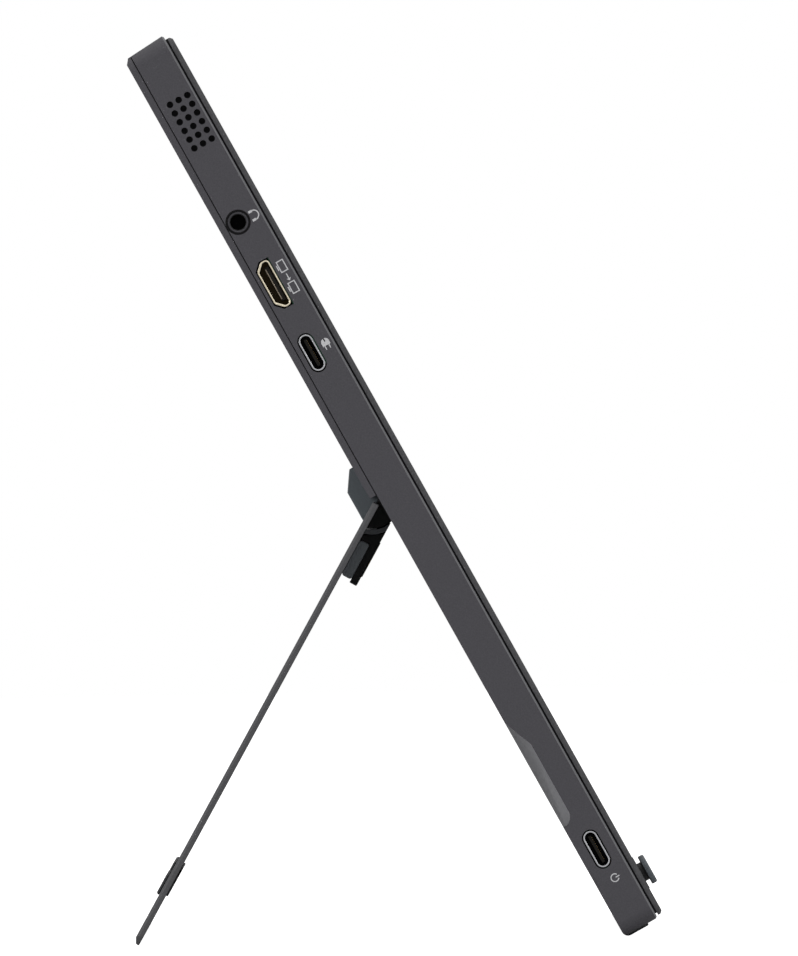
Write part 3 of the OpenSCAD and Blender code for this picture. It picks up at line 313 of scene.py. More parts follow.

# %% [markdown]
# A few places need a colour of their own inside one of those slots. The bezel's paint is coarser than the shell's,
# the inside of a socket is dark because hardly any light gets in and is coloured that way as painted shade, the
# marks are printed in pale ink, and the felt in the hinge is fuzzy. Several colours here are painted light and
# shade: a painted highlight on the shell's front rim, painted light on the finger scoop and on the tripod block,
# and painted shade in the bezel's seam.

# %% Finishes for single places
bezel_paint = grained("bezel_paint", srgb(56, 56, 58), 0.6, 0.6, 0.03, 0.3, specular=0.3)
# Painted shade for the insides of the sockets and the jack
painted_socket_shade = grained("socket_inside", srgb(9, 9, 10), 0.7, 0.3, 0.003, 0.2, specular=0.1)
pad_gold = grained("contact_gold", srgb(190, 156, 92), 0.3, 0.2, 0.001, 0.05, metallic=1.0)
pale_ink = grained("pale_ink", srgb(168, 168, 170), 0.6, 0.15, 0.002, 0.08, specular=0.2)
felt = grained("black_felt", srgb(16, 16, 17), 0.98, 0.12, 0.06, 0.35, specular=0.05)
screen_mask = grained("screen_mask", srgb(5, 5, 6), 0.2, 0.2, 0.0005, 0.05, 0.02, specular=0.16)
# Painted highlight: the shell's front rim chamfer is coloured lighter for the light it catches
painted_rim_highlight = grained("painted_rim_highlight", srgb(88, 88, 91), 0.45, 0.3, 0.006, 0.1)
# Painted shade, warm brown, for the inside of the gold video socket
painted_warm_socket_shade = grained("socket_inside_warm", srgb(40, 32, 19), 0.6, 0.3, 0.003, 0.25, specular=0.15)
# Painted light: the finger scoop is coloured much lighter for the light that falls into it
painted_scoop_light = grained("painted_scoop_light", srgb(130, 130, 133), 0.45, 0.8, 0.01, 0.12)
pale_plate = grained("pale_plating", srgb(222, 212, 188), 0.28, 0.3, 0.001, 0.04, metallic=1.0)
# Painted shade: near-black for the bezel's faces inside the seam to the shell
painted_seam_shade = grained("painted_seam_shade", srgb(22, 22, 24), 0.7, 0.3, 0.003, 0.2, specular=0.1)
# Painted light: a lighter copy of the slate trim for the tripod block, which light hardly reaches
painted_light_block = grained("painted_light_block", srgb(122, 127, 132), 0.5, 0.3, 0.008, 0.08, specular=0.35)
rail_grey = grained("tongue_rail", srgb(128, 118, 104), 0.5, 0.2, 0.001, 0.08, specular=0.2)
tongue_dark = grained("socket_tongue", srgb(24, 22, 19), 0.6, 0.2, 0.003, 0.15, specular=0.15)
refinish("front_bezel", bezel_paint)
# The tripod block gets painted light, lighter than the hinge trim
refinish("tripod_block", painted_light_block)
for name in ("video", "data", "power"):
    refinish(name + "_socket_tongue", tongue_dark)
print("materials:", len(bpy.data.materials))

# %% [markdown]
# ## Making a piece
#
# Every piece below is drawn in the monitor's own millimetres and then moved into the scene by its matrix,
# so its object stays at the origin with its place in the mesh. Curved faces are shaded smooth, and corners
# sharper than 35 degrees stay crisp.

# %% Piece helpers
def give_materials(mesh, materials):
    """Fills the slots in place, because emptying them would reset every face's slot number."""
    while len(mesh.materials) < len(materials):
        mesh.materials.append(None)
    for index, material in enumerate(materials):
        mesh.materials[index] = material


def finish_mesh(mesh, matrix, materials, smooth=35):
    mesh.transform(matrix)
    give_materials(mesh, materials)
    mesh.shade_smooth()
    mesh.set_sharp_from_angle(angle=math.radians(smooth))
    mesh.update()


def add_piece(name, mesh, body, stands_for=()):
    piece = bpy.data.objects.new(name, mesh)
    scene.collection.objects.link(piece)
    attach(piece, body)
    if stands_for:
        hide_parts(*stands_for)
    return piece


def mesh_from(name, bm, matrix, materials, smooth=35):
    mesh = bpy.data.meshes.new(name)
    bm.to_mesh(mesh)
    bm.free()
    finish_mesh(mesh, matrix, materials, smooth)
    return mesh


# %% [markdown]
# ## Soft edges
#
# No moulded or folded edge is perfectly sharp: a radius of a tenth or two of a millimetre catches a thin
# line of light. The edges could be rounded in CAD, but hundreds of tiny fillets make it slow and fragile.
# Here a copy of each visible solid gets its triangles joined and its flat faces cleaned up. Its sharp edges
# with enough room on both sides get a bevel weight, and a Bevel modifier rounds them. The bevel is narrow,
# so sizes and fits stay the same. A Weighted Normal modifier then lets the large faces decide the shading,
# so that flat faces look flat right up to their round edges. The rear shell is only copied: its chamfers
# and rounds are in the CAD model, and narrow bevels would run into each other between its many openings.

# %% Soften the visible solids
SHARP = math.radians(40)
NEARLY_FLAT = math.radians(0.6)
ROOM_IN_WIDTHS = 2.5
SOFT_EDGES = {
    "front_bezel": 0.12, "rear_shell": 0, "rear_panel": 0.15, "stand_plate": 0.15, "hinge_cover": 0.25,
    "hinge_drum": 0.1, "tripod_block": 0.2, "block_cover": 0.2, "block_saddle": 0.1, "tripod_insert": 0.08,
    "headphone_jack": 0.1,
}
CLAMPED = ("rear_panel",)


def softened(node, width_mm):
    solid = frame["nodes"][node]
    bm = bmesh.new()
    bm.from_mesh(solid.data)
    bmesh.ops.remove_doubles(bm, verts=bm.verts, dist=1e-6)
    if width_mm:
        bmesh.ops.dissolve_limit(bm, angle_limit=NEARLY_FLAT, verts=bm.verts, edges=bm.edges)
    volume = bm.calc_volume()
    weight = bm.edges.layers.float.new("bevel_weight_edge")
    chosen = 0
    for edge in bm.edges:
        if not width_mm:
            edge.smooth = edge.calc_face_angle(0) < SHARP
        elif len(edge.link_faces) == 2 and edge.calc_face_angle() > SHARP:
            length = edge.calc_length()
            room = min(face.calc_area() / length for face in edge.link_faces)
            if room > ROOM_IN_WIDTHS * width_mm / 1000:
                edge[weight] = 1.0
                chosen += 1
    mesh = bpy.data.meshes.new("soft_" + node)
    bm.to_mesh(mesh)
    bm.free()
    mesh.shade_smooth()
    draft = bpy.data.objects.new("draft_" + node, mesh)
    scene.collection.objects.link(draft)
    if width_mm:
        bevel = draft.modifiers.new("soft_edges", "BEVEL")
        bevel.width = width_mm / 1000
        bevel.segments = 2
        bevel.limit_method = "WEIGHT"
        bevel.use_clamp_overlap = node in CLAMPED
        bevel.miter_outer = "MITER_ARC"
    flat = draft.modifiers.new("flat_faces", "WEIGHTED_NORMAL")
    flat.mode = "FACE_AREA"
    flat.weight = 90
    flat.keep_sharp = True
    depsgraph = bpy.context.evaluated_depsgraph_get()
    soft_mesh = bpy.data.meshes.new_from_object(draft.evaluated_get(depsgraph))
    bpy.data.objects.remove(draft)
    soft_mesh.name = "soft_" + node
    check = bmesh.new()
    check.from_mesh(soft_mesh)
    bmesh.ops.triangulate(check, faces=check.faces)
    new_volume = check.calc_volume()
    open_edges = sum(1 for edge in check.edges if not edge.is_manifold)
    check.free()
    give_materials(soft_mesh, [slot.material for slot in solid.material_slots])
    body = next(b for b, names in frame["record"]["behaviour"]["bodies"].items() if node in names)
    print(f"{node}: {chosen} edges, {len(soft_mesh.polygons)} faces, volume {new_volume / volume - 1:+.3%}, "
          f"open {open_edges}")
    return add_piece("soft_" + node, soft_mesh, body, [node])


soft = {node: softened(node, width) for node, width in SOFT_EDGES.items()}

# %% [markdown]
# Parts of a solid can get another colour: the shell's front rim is coloured lighter as a painted highlight, its
# finger scoop is coloured lighter as painted light, the jack's bore is coloured dark as painted shade, and the
# bezel's faces inside the seam get painted shade too. Their faces are found by place and direction in the
# monitor's millimetres, which is safer than face numbers, since those change with the mesh.

# %% Faces with another colour, mostly painted light and shade
def paint_faces(piece, material, wanted):
    mesh, count = piece.data, 0
    mesh.materials.append(material)
    to_mm = MONITOR.inverted()
    for face in mesh.polygons:
        if wanted(to_mm @ face.center, (to_mm.to_3x3() @ face.normal).normalized()):
            face.material_index = len(mesh.materials) - 1
            count += 1
    print(piece.name, material.name, count, "faces")


def on_rim(at, facing):
    return 1.5 < at.y < 2.6 and facing.y < -0.3 and max(abs(facing.x), abs(facing.z)) > 0.3


def in_scoop(at, facing):
    return at.x < -171.5 and 27 < at.z < 56 and at.y > 7.2 and -0.99 < facing.x < -0.05 and facing.y > 0.05


def in_bore(at, facing):
    return math.hypot(at.y - JACK[0], at.z - JACK[1]) < 1.8 and at.x > -180.6


def in_seam(at, facing):
    return at.y > 1.15


# Painted highlight on the shell's front rim chamfer
paint_faces(soft["rear_shell"], painted_rim_highlight, on_rim)
# Painted light in the finger scoop
paint_faces(soft["rear_shell"], painted_scoop_light, in_scoop)
# Painted shade in the jack's bore
paint_faces(soft["headphone_jack"], painted_socket_shade, in_bore)
# Painted shade in the seam between bezel and shell
paint_faces(soft["front_bezel"], painted_seam_shade, in_seam)

# %% [markdown]
# ## Screen
#
# The screen is one dark pane. Its lit area is bordered by a black printed mask that is a little glossier.
# The pane keeps the solid's exact size, and its front face is split along the lit area, so that each part
# can have its own finish without a picture.

# %% Screen pane
PANE = ((-175.3, 0.95, 15.5), (175.3, 2.05, 220.9))
LIT = ((-172.1, 24.9), (172.1, 218.5))
PANE_EDGE = 0.12


def screen_pane():
    (x0, y0, z0), (x1, y1, z1) = PANE
    bm = bmesh.new()

    def ring(y, left, bottom, right, top):
        corners = ((left, bottom), (right, bottom), (right, top), (left, top))
        return [bm.verts.new((x, y, z)) for x, z in corners]

    def inset_ring(y, inset):
        return ring(y, x0 + inset, z0 + inset, x1 - inset, z1 - inset)

    def bridge(a, b):
        for i in range(4):
            bm.faces.new((a[i], a[(i + 1) % 4], b[(i + 1) % 4], b[i]))

    back, rim, front = inset_ring(y1, 0), inset_ring(y0 + PANE_EDGE, 0), inset_ring(y0, PANE_EDGE)
    lit = ring(y0, *LIT[0], *LIT[1])
    bridge(back, rim)
    bridge(rim, front)
    bridge(front, lit)
    bm.faces.new(list(reversed(back)))
    lit_face = bm.faces.new(lit)
    lit_face.material_index = 1
    bmesh.ops.recalc_face_normals(bm, faces=bm.faces)
    return mesh_from("screen_pane", bm, MONITOR, [screen_mask, finishes["screen"]])


pane = add_piece("screen_pane", screen_pane(), "monitor", ["screen_glass"])
print("screen pane:", [round(v * 1000, 1) for v in pane.dimensions], "mm")

# %% [markdown]
# ## Sockets
#
# A socket is a folded sheet-metal shell with a rounded rim, and a tongue with contacts inside it. A plain
# extrusion would look filled with bright metal, so the shell is lofted from rings: outer wall, rounded rim, inner
# wall and closed end. The rim stays metal and everything behind it is painted shade, near-black, and warm brown
# behind the gold plating of the video socket.

# %% Socket outlines
def rounded(corners, radius, steps=5):
    """Rounds a convex polygon's corners, given anticlockwise."""
    points = []
    for i, corner in enumerate(corners):
        here, before, after = Vector(corner), Vector(corners[i - 1]), Vector(corners[(i + 1) % len(corners)])
        to_before, to_after = (before - here).normalized(), (after - here).normalized()
        half = to_before.angle(to_after) / 2
        reach = radius / math.tan(half)
        middle = here + (to_before + to_after).normalized() * radius / math.sin(half)
        start, end = here + to_before * reach - middle, here + to_after * reach - middle
        for k in range(steps + 1):
            points.append(middle + start.slerp(end, k / steps) * radius)
    return points


def stadium(centre, size, grow):
    h, d = size[0] / 2 + grow, size[1] / 2 + grow
    y, z = centre
    corners = [(y - d, z - h), (y + d, z - h), (y + d, z + h), (y - d, z + h)]
    # A hair less than half the width, so that the two short sides keep a length
    return rounded(corners, d - 0.001, 10)


def cut_corner(centre, size, grow):
    h, d, cut = size[0] / 2 + grow, size[1] / 2 + grow, 1.7
    y, z = centre
    corners = [(y - d, z - h), (y + d - cut, z - h), (y + d, z + cut - h), (y + d, z + h - cut),
               (y + d - cut, z + h), (y - d, z + h)]
    return rounded(corners, 1.0 + grow, 6)


# %% Socket shells
# Rings from this band on, and the closed end, are painted shade
FIRST_PAINTED_SHADE_BAND = 6


def socket_shell(name, outline, centre, size, depth, wall, metal, inside):
    # Each ring is (how far in from the rim, how much the outline grows)
    rings = [(depth, 0), (0.08, 0), (0.02, -0.02), (0, -0.06), (0, 0.05 - wall), (0.02, 0.01 - wall),
             (0.08, -wall), (0.3, -wall), (depth - wall, -wall)]
    bm = bmesh.new()
    made = []
    for x, grow in rings:
        made.append([bm.verts.new((RIM_X + x, p.x, p.y)) for p in outline(centre, size, grow)])
    for index, (a, b) in enumerate(zip(made, made[1:])):
        for i in range(len(a)):
            j = (i + 1) % len(a)
            face = bm.faces.new((a[i], a[j], b[j], b[i]))
            face.material_index = 1 if index >= FIRST_PAINTED_SHADE_BAND else 0
    bm.faces.new(made[-1]).material_index = 1
    bm.faces.new(list(reversed(made[0])))
    bmesh.ops.recalc_face_normals(bm, faces=bm.faces)
    return mesh_from(name, bm, MONITOR, [metal, inside], 50)


sockets = (
    ("video_socket", cut_corner, VIDEO, (11.5, 3.6), 7.5, 0.36, "gold_plate"),
    ("data_socket", stadium, DATA, (8.94, 3.26), 7.3, 0.36, "steel"),
    ("power_socket", stadium, POWER, (8.94, 3.26), 7.3, 0.36, "steel"),
)
for name, outline, centre, size, depth, wall, slot_name in sockets:
    # The inside of each socket gets painted shade, warm brown behind the gold plating
    inside = painted_warm_socket_shade if slot_name == "gold_plate" else painted_socket_shade
    metal = pale_plate if slot_name == "gold_plate" else finishes[slot_name]
    mesh = socket_shell(name + "_rim", outline, centre, size, depth, wall, metal, inside)
    add_piece(name + "_rim", mesh, "monitor", [name + "_shell"])
    print(name, len(mesh.polygons), "faces")

# %% [markdown]
# ## Rows of contacts and ribs
#
# Contacts, grip ribs and foot ribs are the same bar repeated at an even pitch, so one Geometry Nodes tree
# makes all of them: a line of points, a bar on each point, Realize Instances and Set Material. Its inputs
# have names, and a helper sets them by their identifiers before Blender evaluates the tree.

# %% Tree for rows of bars
def new_tree(name, inputs):
    tree = bpy.data.node_groups.new(name, "GeometryNodeTree")
    tree.interface.new_socket("Geometry", in_out="INPUT", socket_type="NodeSocketGeometry")
    for label, kind in inputs:
        tree.interface.new_socket(label, in_out="INPUT", socket_type=kind)
    tree.interface.new_socket("Geometry", in_out="OUTPUT", socket_type="NodeSocketGeometry")
    return tree, tree.nodes.new("NodeGroupInput"), tree.nodes.new("NodeGroupOutput")


def bar_tree():
    tree, given, result = new_tree("row_of_bars", [
        ("Count", "NodeSocketInt"), ("Pitch", "NodeSocketVector"), ("Bar", "NodeSocketObject"),
        ("Finish", "NodeSocketMaterial")])
    line = add_node(tree, "GeometryNodeMeshLine")
    bar = add_node(tree, "GeometryNodeObjectInfo")
    place = add_node(tree, "GeometryNodeInstanceOnPoints")
    real = add_node(tree, "GeometryNodeRealizeInstances")
    paint = add_node(tree, "GeometryNodeSetMaterial")
    tree.links.new(given.outputs["Count"], line.inputs["Count"])
    tree.links.new(given.outputs["Pitch"], line.inputs["Offset"])
    tree.links.new(given.outputs["Bar"], bar.inputs["Object"])
    tree.links.new(line.outputs["Mesh"], place.inputs["Points"])
    tree.links.new(bar.outputs["Geometry"], place.inputs["Instance"])
    tree.links.new(place.outputs["Instances"], real.inputs["Geometry"])
    tree.links.new(real.outputs["Geometry"], paint.inputs["Geometry"])
    tree.links.new(given.outputs["Finish"], paint.inputs["Material"])
    tree.links.new(paint.outputs["Geometry"], result.inputs["Geometry"])
    return tree


def grown(name, tree, values, base_mesh=None):
    """Evaluates a tree on a base mesh with the named inputs, and returns the plain mesh."""
    base = bpy.data.objects.new(name + "_base", base_mesh or bpy.data.meshes.new(name + "_base"))
    scene.collection.objects.link(base)
    modifier = base.modifiers.new("grow", "NODES")
    modifier.node_group = tree
    for item in tree.interface.items_tree:
        if item.in_out == "INPUT" and item.name in values:
            modifier[item.identifier] = values[item.name]
    base.update_tag()
    mesh = bpy.data.meshes.new_from_object(base.evaluated_get(bpy.context.evaluated_depsgraph_get()))
    bpy.data.objects.remove(base)
    mesh.name = name
    return mesh


def bar_object(name, size, round_mm):
    """One bar with rounded edges, kept out of the scene: only its mesh is repeated."""
    bm = bmesh.new()
    bmesh.ops.create_cube(bm, size=1)
    bmesh.ops.scale(bm, vec=size, verts=bm.verts)
    bmesh.ops.bevel(bm, geom=bm.edges[:], offset=round_mm, segments=2, profile=0.5, affect="EDGES")
    mesh = bpy.data.meshes.new(name)
    bm.to_mesh(mesh)
    bm.free()
    return bpy.data.objects.new(name, mesh)


row_of_bars = bar_tree()
print("tree:", row_of_bars.name, "with", len(row_of_bars.nodes), "nodes")


# %% Contacts on the three tongues
def bar_row(name, first, pitch, count, size, round_mm, finish):
    """A row of bars that runs up the side wall from the first one's centre."""
    bar = bar_object(name + "_bar", size, round_mm)
    mesh = grown(name, row_of_bars, {"Count": count, "Pitch": (0, 0, pitch), "Bar": bar, "Finish": finish})
    bpy.data.objects.remove(bar)
    finish_mesh(mesh, MONITOR @ Matrix.Translation(first), [finish])
    add_piece(name, mesh, "monitor")


for name, (y, z) in (("data", DATA), ("power", POWER)):
    bar_row(name + "_contacts", (RIM_X + 2.7, y - 0.36, z - 2.75), 0.5, 12, (2.2, 0.06, 0.26), 0.02,
            pad_gold)
bar_row("video_contacts", (RIM_X + 3.0, VIDEO[0] - 0.14, VIDEO[1] - 3.6), 0.8, 10, (2.6, 0.06, 0.3), 0.02,
        pad_gold)
bar_row("video_tongue_rail", (RIM_X + 1.42, VIDEO[0] - 0.2, VIDEO[1]), 1, 1, (0.12, 0.26, 7.6), 0.04,
        rail_grey)
print("contacts: 12 + 12 + 10, and the tongue's rail")

# %% [markdown]
# ## Rubber strips
#
# The foot strips and the grip strips are soft rubber with fine ribs across them, which stop the monitor
# sliding. The solids have the strips' full outline, so each strip is rebuilt a little thinner, with the
# ribs bringing it back to that outline.

# %% Foot strips and grip strips
def rounded_block(bm, low, high, radius):
    made = bmesh.ops.create_cube(bm, size=1)["verts"]
    for vert in made:
        vert.co = Vector([low[i] if vert.co[i] < 0 else high[i] for i in range(3)])
    edges = list(dict.fromkeys(edge for vert in made for edge in vert.link_edges))
    bmesh.ops.bevel(bm, geom=edges, offset=radius, segments=2, profile=0.5, affect="EDGES")


def strip_and_ribs(name, blocks, rows, matrix, body, node):
    """Blocks are (low, high, radius). Rows are (first, pitch, count, size, round)."""
    bm = bmesh.new()
    for low, high, radius in blocks:
        rounded_block(bm, low, high, radius)
    for first, pitch, count, size, round_mm in rows:
        bar = bar_object(name + "_rib", size, round_mm)
        ribs = grown(name + "_ribs", row_of_bars,
                     {"Count": count, "Pitch": pitch, "Bar": bar, "Finish": finishes["rubber"]})
        bpy.data.objects.remove(bar)
        ribs.transform(Matrix.Translation(first))
        bm.from_mesh(ribs)
        bpy.data.meshes.remove(ribs)
    mesh = mesh_from(name, bm, matrix, [finishes["rubber"]])
    add_piece(name, mesh, body, [node])
    print(name, len(mesh.polygons), "faces")


FOOT_X = (95.03, 169.97)
FOOT_FRONT, FOOT_MID, FOOT_R, FOOT_INNER, FOOT_TOP = 4.1, (8.7, 0.9), 1.5, 0.4, 1.3
FOOT_EDGE, FOOT_RIBS, FOOT_PITCH = 0.12, 59, 1.25


def foot_slice(name, x0, x1, sink, trim):
    """The strip's profile between two widths. It lies flat underneath and wraps round the back edge."""
    (my, mz), outer = FOOT_MID, FOOT_R - sink
    turn_by = [math.radians(-90 + 15 * k) for k in range(7)]
    points = [(FOOT_FRONT + trim, mz - outer)]
    points += [(my + outer * math.cos(a), mz + outer * math.sin(a)) for a in turn_by]
    points += [(my + outer, FOOT_TOP - trim), (my + FOOT_INNER, FOOT_TOP - trim)]
    points += [(my + FOOT_INNER * math.cos(a), mz + FOOT_INNER * math.sin(a)) for a in reversed(turn_by)]
    points += [(FOOT_FRONT + trim, mz - FOOT_INNER)]
    bm = bmesh.new()
    face = bm.faces.new([bm.verts.new((x0, y, z)) for y, z in points])
    made = bmesh.ops.extrude_face_region(bm, geom=[face])["geom"]
    for vert in (g for g in made if isinstance(g, bmesh.types.BMVert)):
        vert.co.x = x1
    bmesh.ops.recalc_face_normals(bm, faces=bm.faces)
    sharp = [edge for edge in bm.edges if edge.calc_face_angle() > SHARP]
    bmesh.ops.bevel(bm, geom=sharp, offset=FOOT_EDGE, segments=2, profile=0.5, affect="EDGES")
    mesh = bpy.data.meshes.new(name)
    bm.to_mesh(mesh)
    bm.free()
    return mesh


bm = bmesh.new()
for side in (-1, 1):
    xs = sorted((side * FOOT_X[0], side * FOOT_X[1]))
    strip = foot_slice("foot_strip", xs[0], xs[1], 0.16, 0)
    rib = bpy.data.objects.new("foot_rib", foot_slice("foot_rib", -0.3, 0.3, 0, 0.1))
    ribs = grown("foot_ribs", row_of_bars, {
        "Count": FOOT_RIBS, "Pitch": (FOOT_PITCH, 0, 0), "Bar": rib, "Finish": finishes["rubber"]})
    ribs.transform(Matrix.Translation((xs[0] + 1.2, 0, 0)))
    for made in (strip, ribs):
        bm.from_mesh(made)
    bpy.data.objects.remove(rib)
feet = mesh_from("ribbed_feet", bm, MONITOR, [finishes["rubber"]])
add_piece("ribbed_feet", feet, "monitor", ["foot_strips"])
print("ribbed_feet", len(feet.polygons), "faces")

GRIP_X, GRIP_Z, PLATE_Y = (72.4, 177.4), 14.9, (10.45, 11.95)
OUTER_HALF, INNER_HALF, NECK_HALF = 2.35, 1.75, 0.97
blocks, rows = [], []
for side in (-1, 1):
    xs = sorted((side * GRIP_X[0], side * GRIP_X[1]))
    ends = (xs[0] - 1, xs[1] + 1)
    blocks.append(((ends[0], PLATE_Y[1], GRIP_Z - OUTER_HALF),
                   (ends[1], PLATE_Y[1] + 0.5, GRIP_Z + OUTER_HALF), 0.2))
    blocks.append(((ends[0] + 0.2, PLATE_Y[0] - 0.45, GRIP_Z - INNER_HALF),
                   (ends[1] - 0.2, PLATE_Y[0] + 0.02, GRIP_Z + INNER_HALF), 0.18))
    blocks.append(((xs[0], PLATE_Y[0] - 0.1, GRIP_Z - NECK_HALF),
                   (xs[1], PLATE_Y[1] + 0.1, GRIP_Z + NECK_HALF), 0.02))
    rows.append(((ends[0] + 1.25, PLATE_Y[1] + 0.4, GRIP_Z), (1.5, 0, 0), 70, (0.7, 0.6, 4.3), 0.18))
strip_and_ribs("ribbed_grips", blocks, rows, STAND, "stand", "grip_strips")

# The closed stand's inner ribs rest in a groove across the shell, and a stop closes the groove at each side
bm = bmesh.new()
for xs in ((-180.94, -178.8), (178.8, 180.94)):
    rounded_block(bm, (xs[0], 9.5, GRIP_Z - 2.3), (xs[1], 10.19, GRIP_Z + 2.3), 0.03)
add_piece("groove_stops", mesh_from("groove_stops", bm, MONITOR, [finishes["housing"]]), "monitor")

# %% [markdown]
# ## Screws
#
# The monitor's visible screws have a flat head with a cross recess. The head is a short cylinder minus two
# crossed bars. One tree cuts it, adds the shank, and puts a screw on every vertex of the mesh that it is
# given, so a list of places is all that a group of screws needs.

# %% Screw tree
def screw_tree():
    tree, given, result = new_tree("cross_screws", [
        ("Head Radius", "NodeSocketFloat"), ("Head Height", "NodeSocketFloat"),
        ("Slot Length", "NodeSocketFloat"), ("Shank Radius", "NodeSocketFloat"),
        ("Shank Length", "NodeSocketFloat"), ("Finish", "NodeSocketMaterial")])

    def vector(x=None, y=None, z=None):
        made = add_node(tree, "ShaderNodeCombineXYZ")
        for axis, source in zip("XYZ", (x, y, z)):
            if isinstance(source, (int, float)):
                made.inputs[axis].default_value = source
            elif source is not None:
                tree.links.new(source, made.inputs[axis])
        return made.outputs[0]

    def scaled(source, factor):
        made = add_node(tree, "ShaderNodeMath", operation="MULTIPLY")
        tree.links.new(source, made.inputs[0])
        made.inputs[1].default_value = factor
        return made.outputs[0]

    def moved(geometry, shift):
        made = add_node(tree, "GeometryNodeTransform")
        tree.links.new(geometry, made.inputs["Geometry"])
        tree.links.new(shift, made.inputs["Translation"])
        return made.outputs["Geometry"]

    height = given.outputs["Head Height"]
    head = add_node(tree, "GeometryNodeMeshCylinder", {"Vertices": 40})
    tree.links.new(given.outputs["Head Radius"], head.inputs["Radius"])
    tree.links.new(height, head.inputs["Depth"])
    cut = add_node(tree, "GeometryNodeMeshBoolean", operation="DIFFERENCE")
    tree.links.new(moved(head.outputs["Mesh"], vector(z=scaled(height, -0.5))), cut.inputs["Mesh 1"])
    length = given.outputs["Slot Length"]
    for sizes in ((length, scaled(length, 0.24)), (scaled(length, 0.24), length)):
        bar = add_node(tree, "GeometryNodeMeshCube")
        tree.links.new(vector(sizes[0], sizes[1], height), bar.inputs["Size"])
        tree.links.new(bar.outputs["Mesh"], cut.inputs["Mesh 2"])
    shank = add_node(tree, "GeometryNodeMeshCylinder", {"Vertices": 20})
    tree.links.new(given.outputs["Shank Radius"], shank.inputs["Radius"])
    tree.links.new(given.outputs["Shank Length"], shank.inputs["Depth"])
    down = add_node(tree, "ShaderNodeMath", operation="MULTIPLY_ADD")
    tree.links.new(given.outputs["Shank Length"], down.inputs[0])
    down.inputs[1].default_value = -0.5
    tree.links.new(scaled(height, -1), down.inputs[2])
    both = add_node(tree, "GeometryNodeJoinGeometry")
    tree.links.new(cut.outputs["Mesh"], both.inputs[0])
    tree.links.new(moved(shank.outputs["Mesh"], vector(z=down.outputs[0])), both.inputs[0])
    place = add_node(tree, "GeometryNodeInstanceOnPoints")
    real = add_node(tree, "GeometryNodeRealizeInstances")
    paint = add_node(tree, "GeometryNodeSetMaterial")
    tree.links.new(given.outputs["Geometry"], place.inputs["Points"])
    tree.links.new(both.outputs[0], place.inputs["Instance"])
    tree.links.new(place.outputs["Instances"], real.inputs["Geometry"])
    tree.links.new(real.outputs["Geometry"], paint.inputs["Geometry"])
    tree.links.new(given.outputs["Finish"], paint.inputs["Material"])
    tree.links.new(paint.outputs["Geometry"], result.inputs["Geometry"])
    return tree


cross_screws = screw_tree()


# %% Case screws and block cover screws
HEAD_R, SLOT_LENGTH, SHANK_R = 1.86, 2.1, 0.93


def screws(name, places, outward, head_mm, heights, matrix, body, slot_name, node):
    """Places are (x, z) on the face at depth head_mm; outward is +1 for the back and -1 for the front.

    Heights are the head's and the shank's.
    """
    points = bpy.data.meshes.new(name + "_places")
    points.from_pydata([(x, z, 0) for x, z in places], [], [])
    mesh = grown(name, cross_screws, {
        "Head Radius": HEAD_R, "Head Height": heights[0], "Slot Length": SLOT_LENGTH, "Shank Radius": SHANK_R,
        "Shank Length": heights[1], "Finish": finishes[slot_name]}, points)
    turned = Matrix(((1, 0, 0, 0), (0, 0, outward, head_mm), (0, 1, 0, 0), (0, 0, 0, 1)))
    finish_mesh(mesh, matrix @ turned, [finishes[slot_name]])
    if (matrix @ turned).determinant() < 0:
        mesh.flip_normals()
    add_piece(name, mesh, body, [node])
    print(name, len(places), "screws,", len(mesh.polygons), "faces")


screws("case_cross_screws", [(x, 8) for x in (-125, -42, 42, 125)], 1, 10.17, (0.7, 5.2), MONITOR, "monitor",
       "screw_black", "case_screws")
screws("cover_cross_screws", [(x, 98.85) for x in (-38, -10, 10, 38)], -1, 6.18, (0.6, 2.6), STAND, "stand",
       "screw_black", "cover_screws")

# %% [markdown]
# ## Tripod thread
#
# The brass insert has a quarter-inch thread, 20 turns to the inch. A thread follows a helix, so a tree
# sweeps a small profile along a spiral curve. The crests stand on the wall of the solid's plain bore.

# %% Thread
def thread_tree():
    tree, given, result = new_tree("helix_thread", [
        ("Turns", "NodeSocketFloat"), ("Radius", "NodeSocketFloat"), ("Height", "NodeSocketFloat"),
        ("Crest", "NodeSocketFloat"), ("Finish", "NodeSocketMaterial")])
    helix = add_node(tree, "GeometryNodeCurveSpiral", {"Resolution": 40})
    profile = add_node(tree, "GeometryNodeCurvePrimitiveCircle", {"Resolution": 6})
    sweep = add_node(tree, "GeometryNodeCurveToMesh", {"Fill Caps": True})
    paint = add_node(tree, "GeometryNodeSetMaterial")
    tree.links.new(given.outputs["Turns"], helix.inputs["Rotations"])
    tree.links.new(given.outputs["Radius"], helix.inputs["Start Radius"])
    tree.links.new(given.outputs["Radius"], helix.inputs["End Radius"])
    tree.links.new(given.outputs["Height"], helix.inputs["Height"])
    tree.links.new(given.outputs["Crest"], profile.inputs["Radius"])
    tree.links.new(helix.outputs[0], sweep.inputs["Curve"])
    tree.links.new(profile.outputs[0], sweep.inputs["Profile Curve"])
    tree.links.new(sweep.outputs["Mesh"], paint.inputs["Geometry"])
    tree.links.new(given.outputs["Finish"], paint.inputs["Material"])
    tree.links.new(paint.outputs["Geometry"], result.inputs["Geometry"])
    return tree


INSERT_Y, INSERT_Z = 6.5, 101.0
thread = grown("tripod_thread", thread_tree(), {
    "Turns": 3.0, "Radius": 3.2, "Height": 3.6, "Crest": 0.42, "Finish": finishes["brass"]})
along = Matrix(((1, 0, 0, 0), (0, 0, 1, INSERT_Y), (0, -1, 0, INSERT_Z), (0, 0, 0, 1)))
finish_mesh(thread, STAND @ along, [finishes["brass"]])
add_piece("tripod_thread", thread, "stand")
print("thread:", len(thread.polygons), "faces")

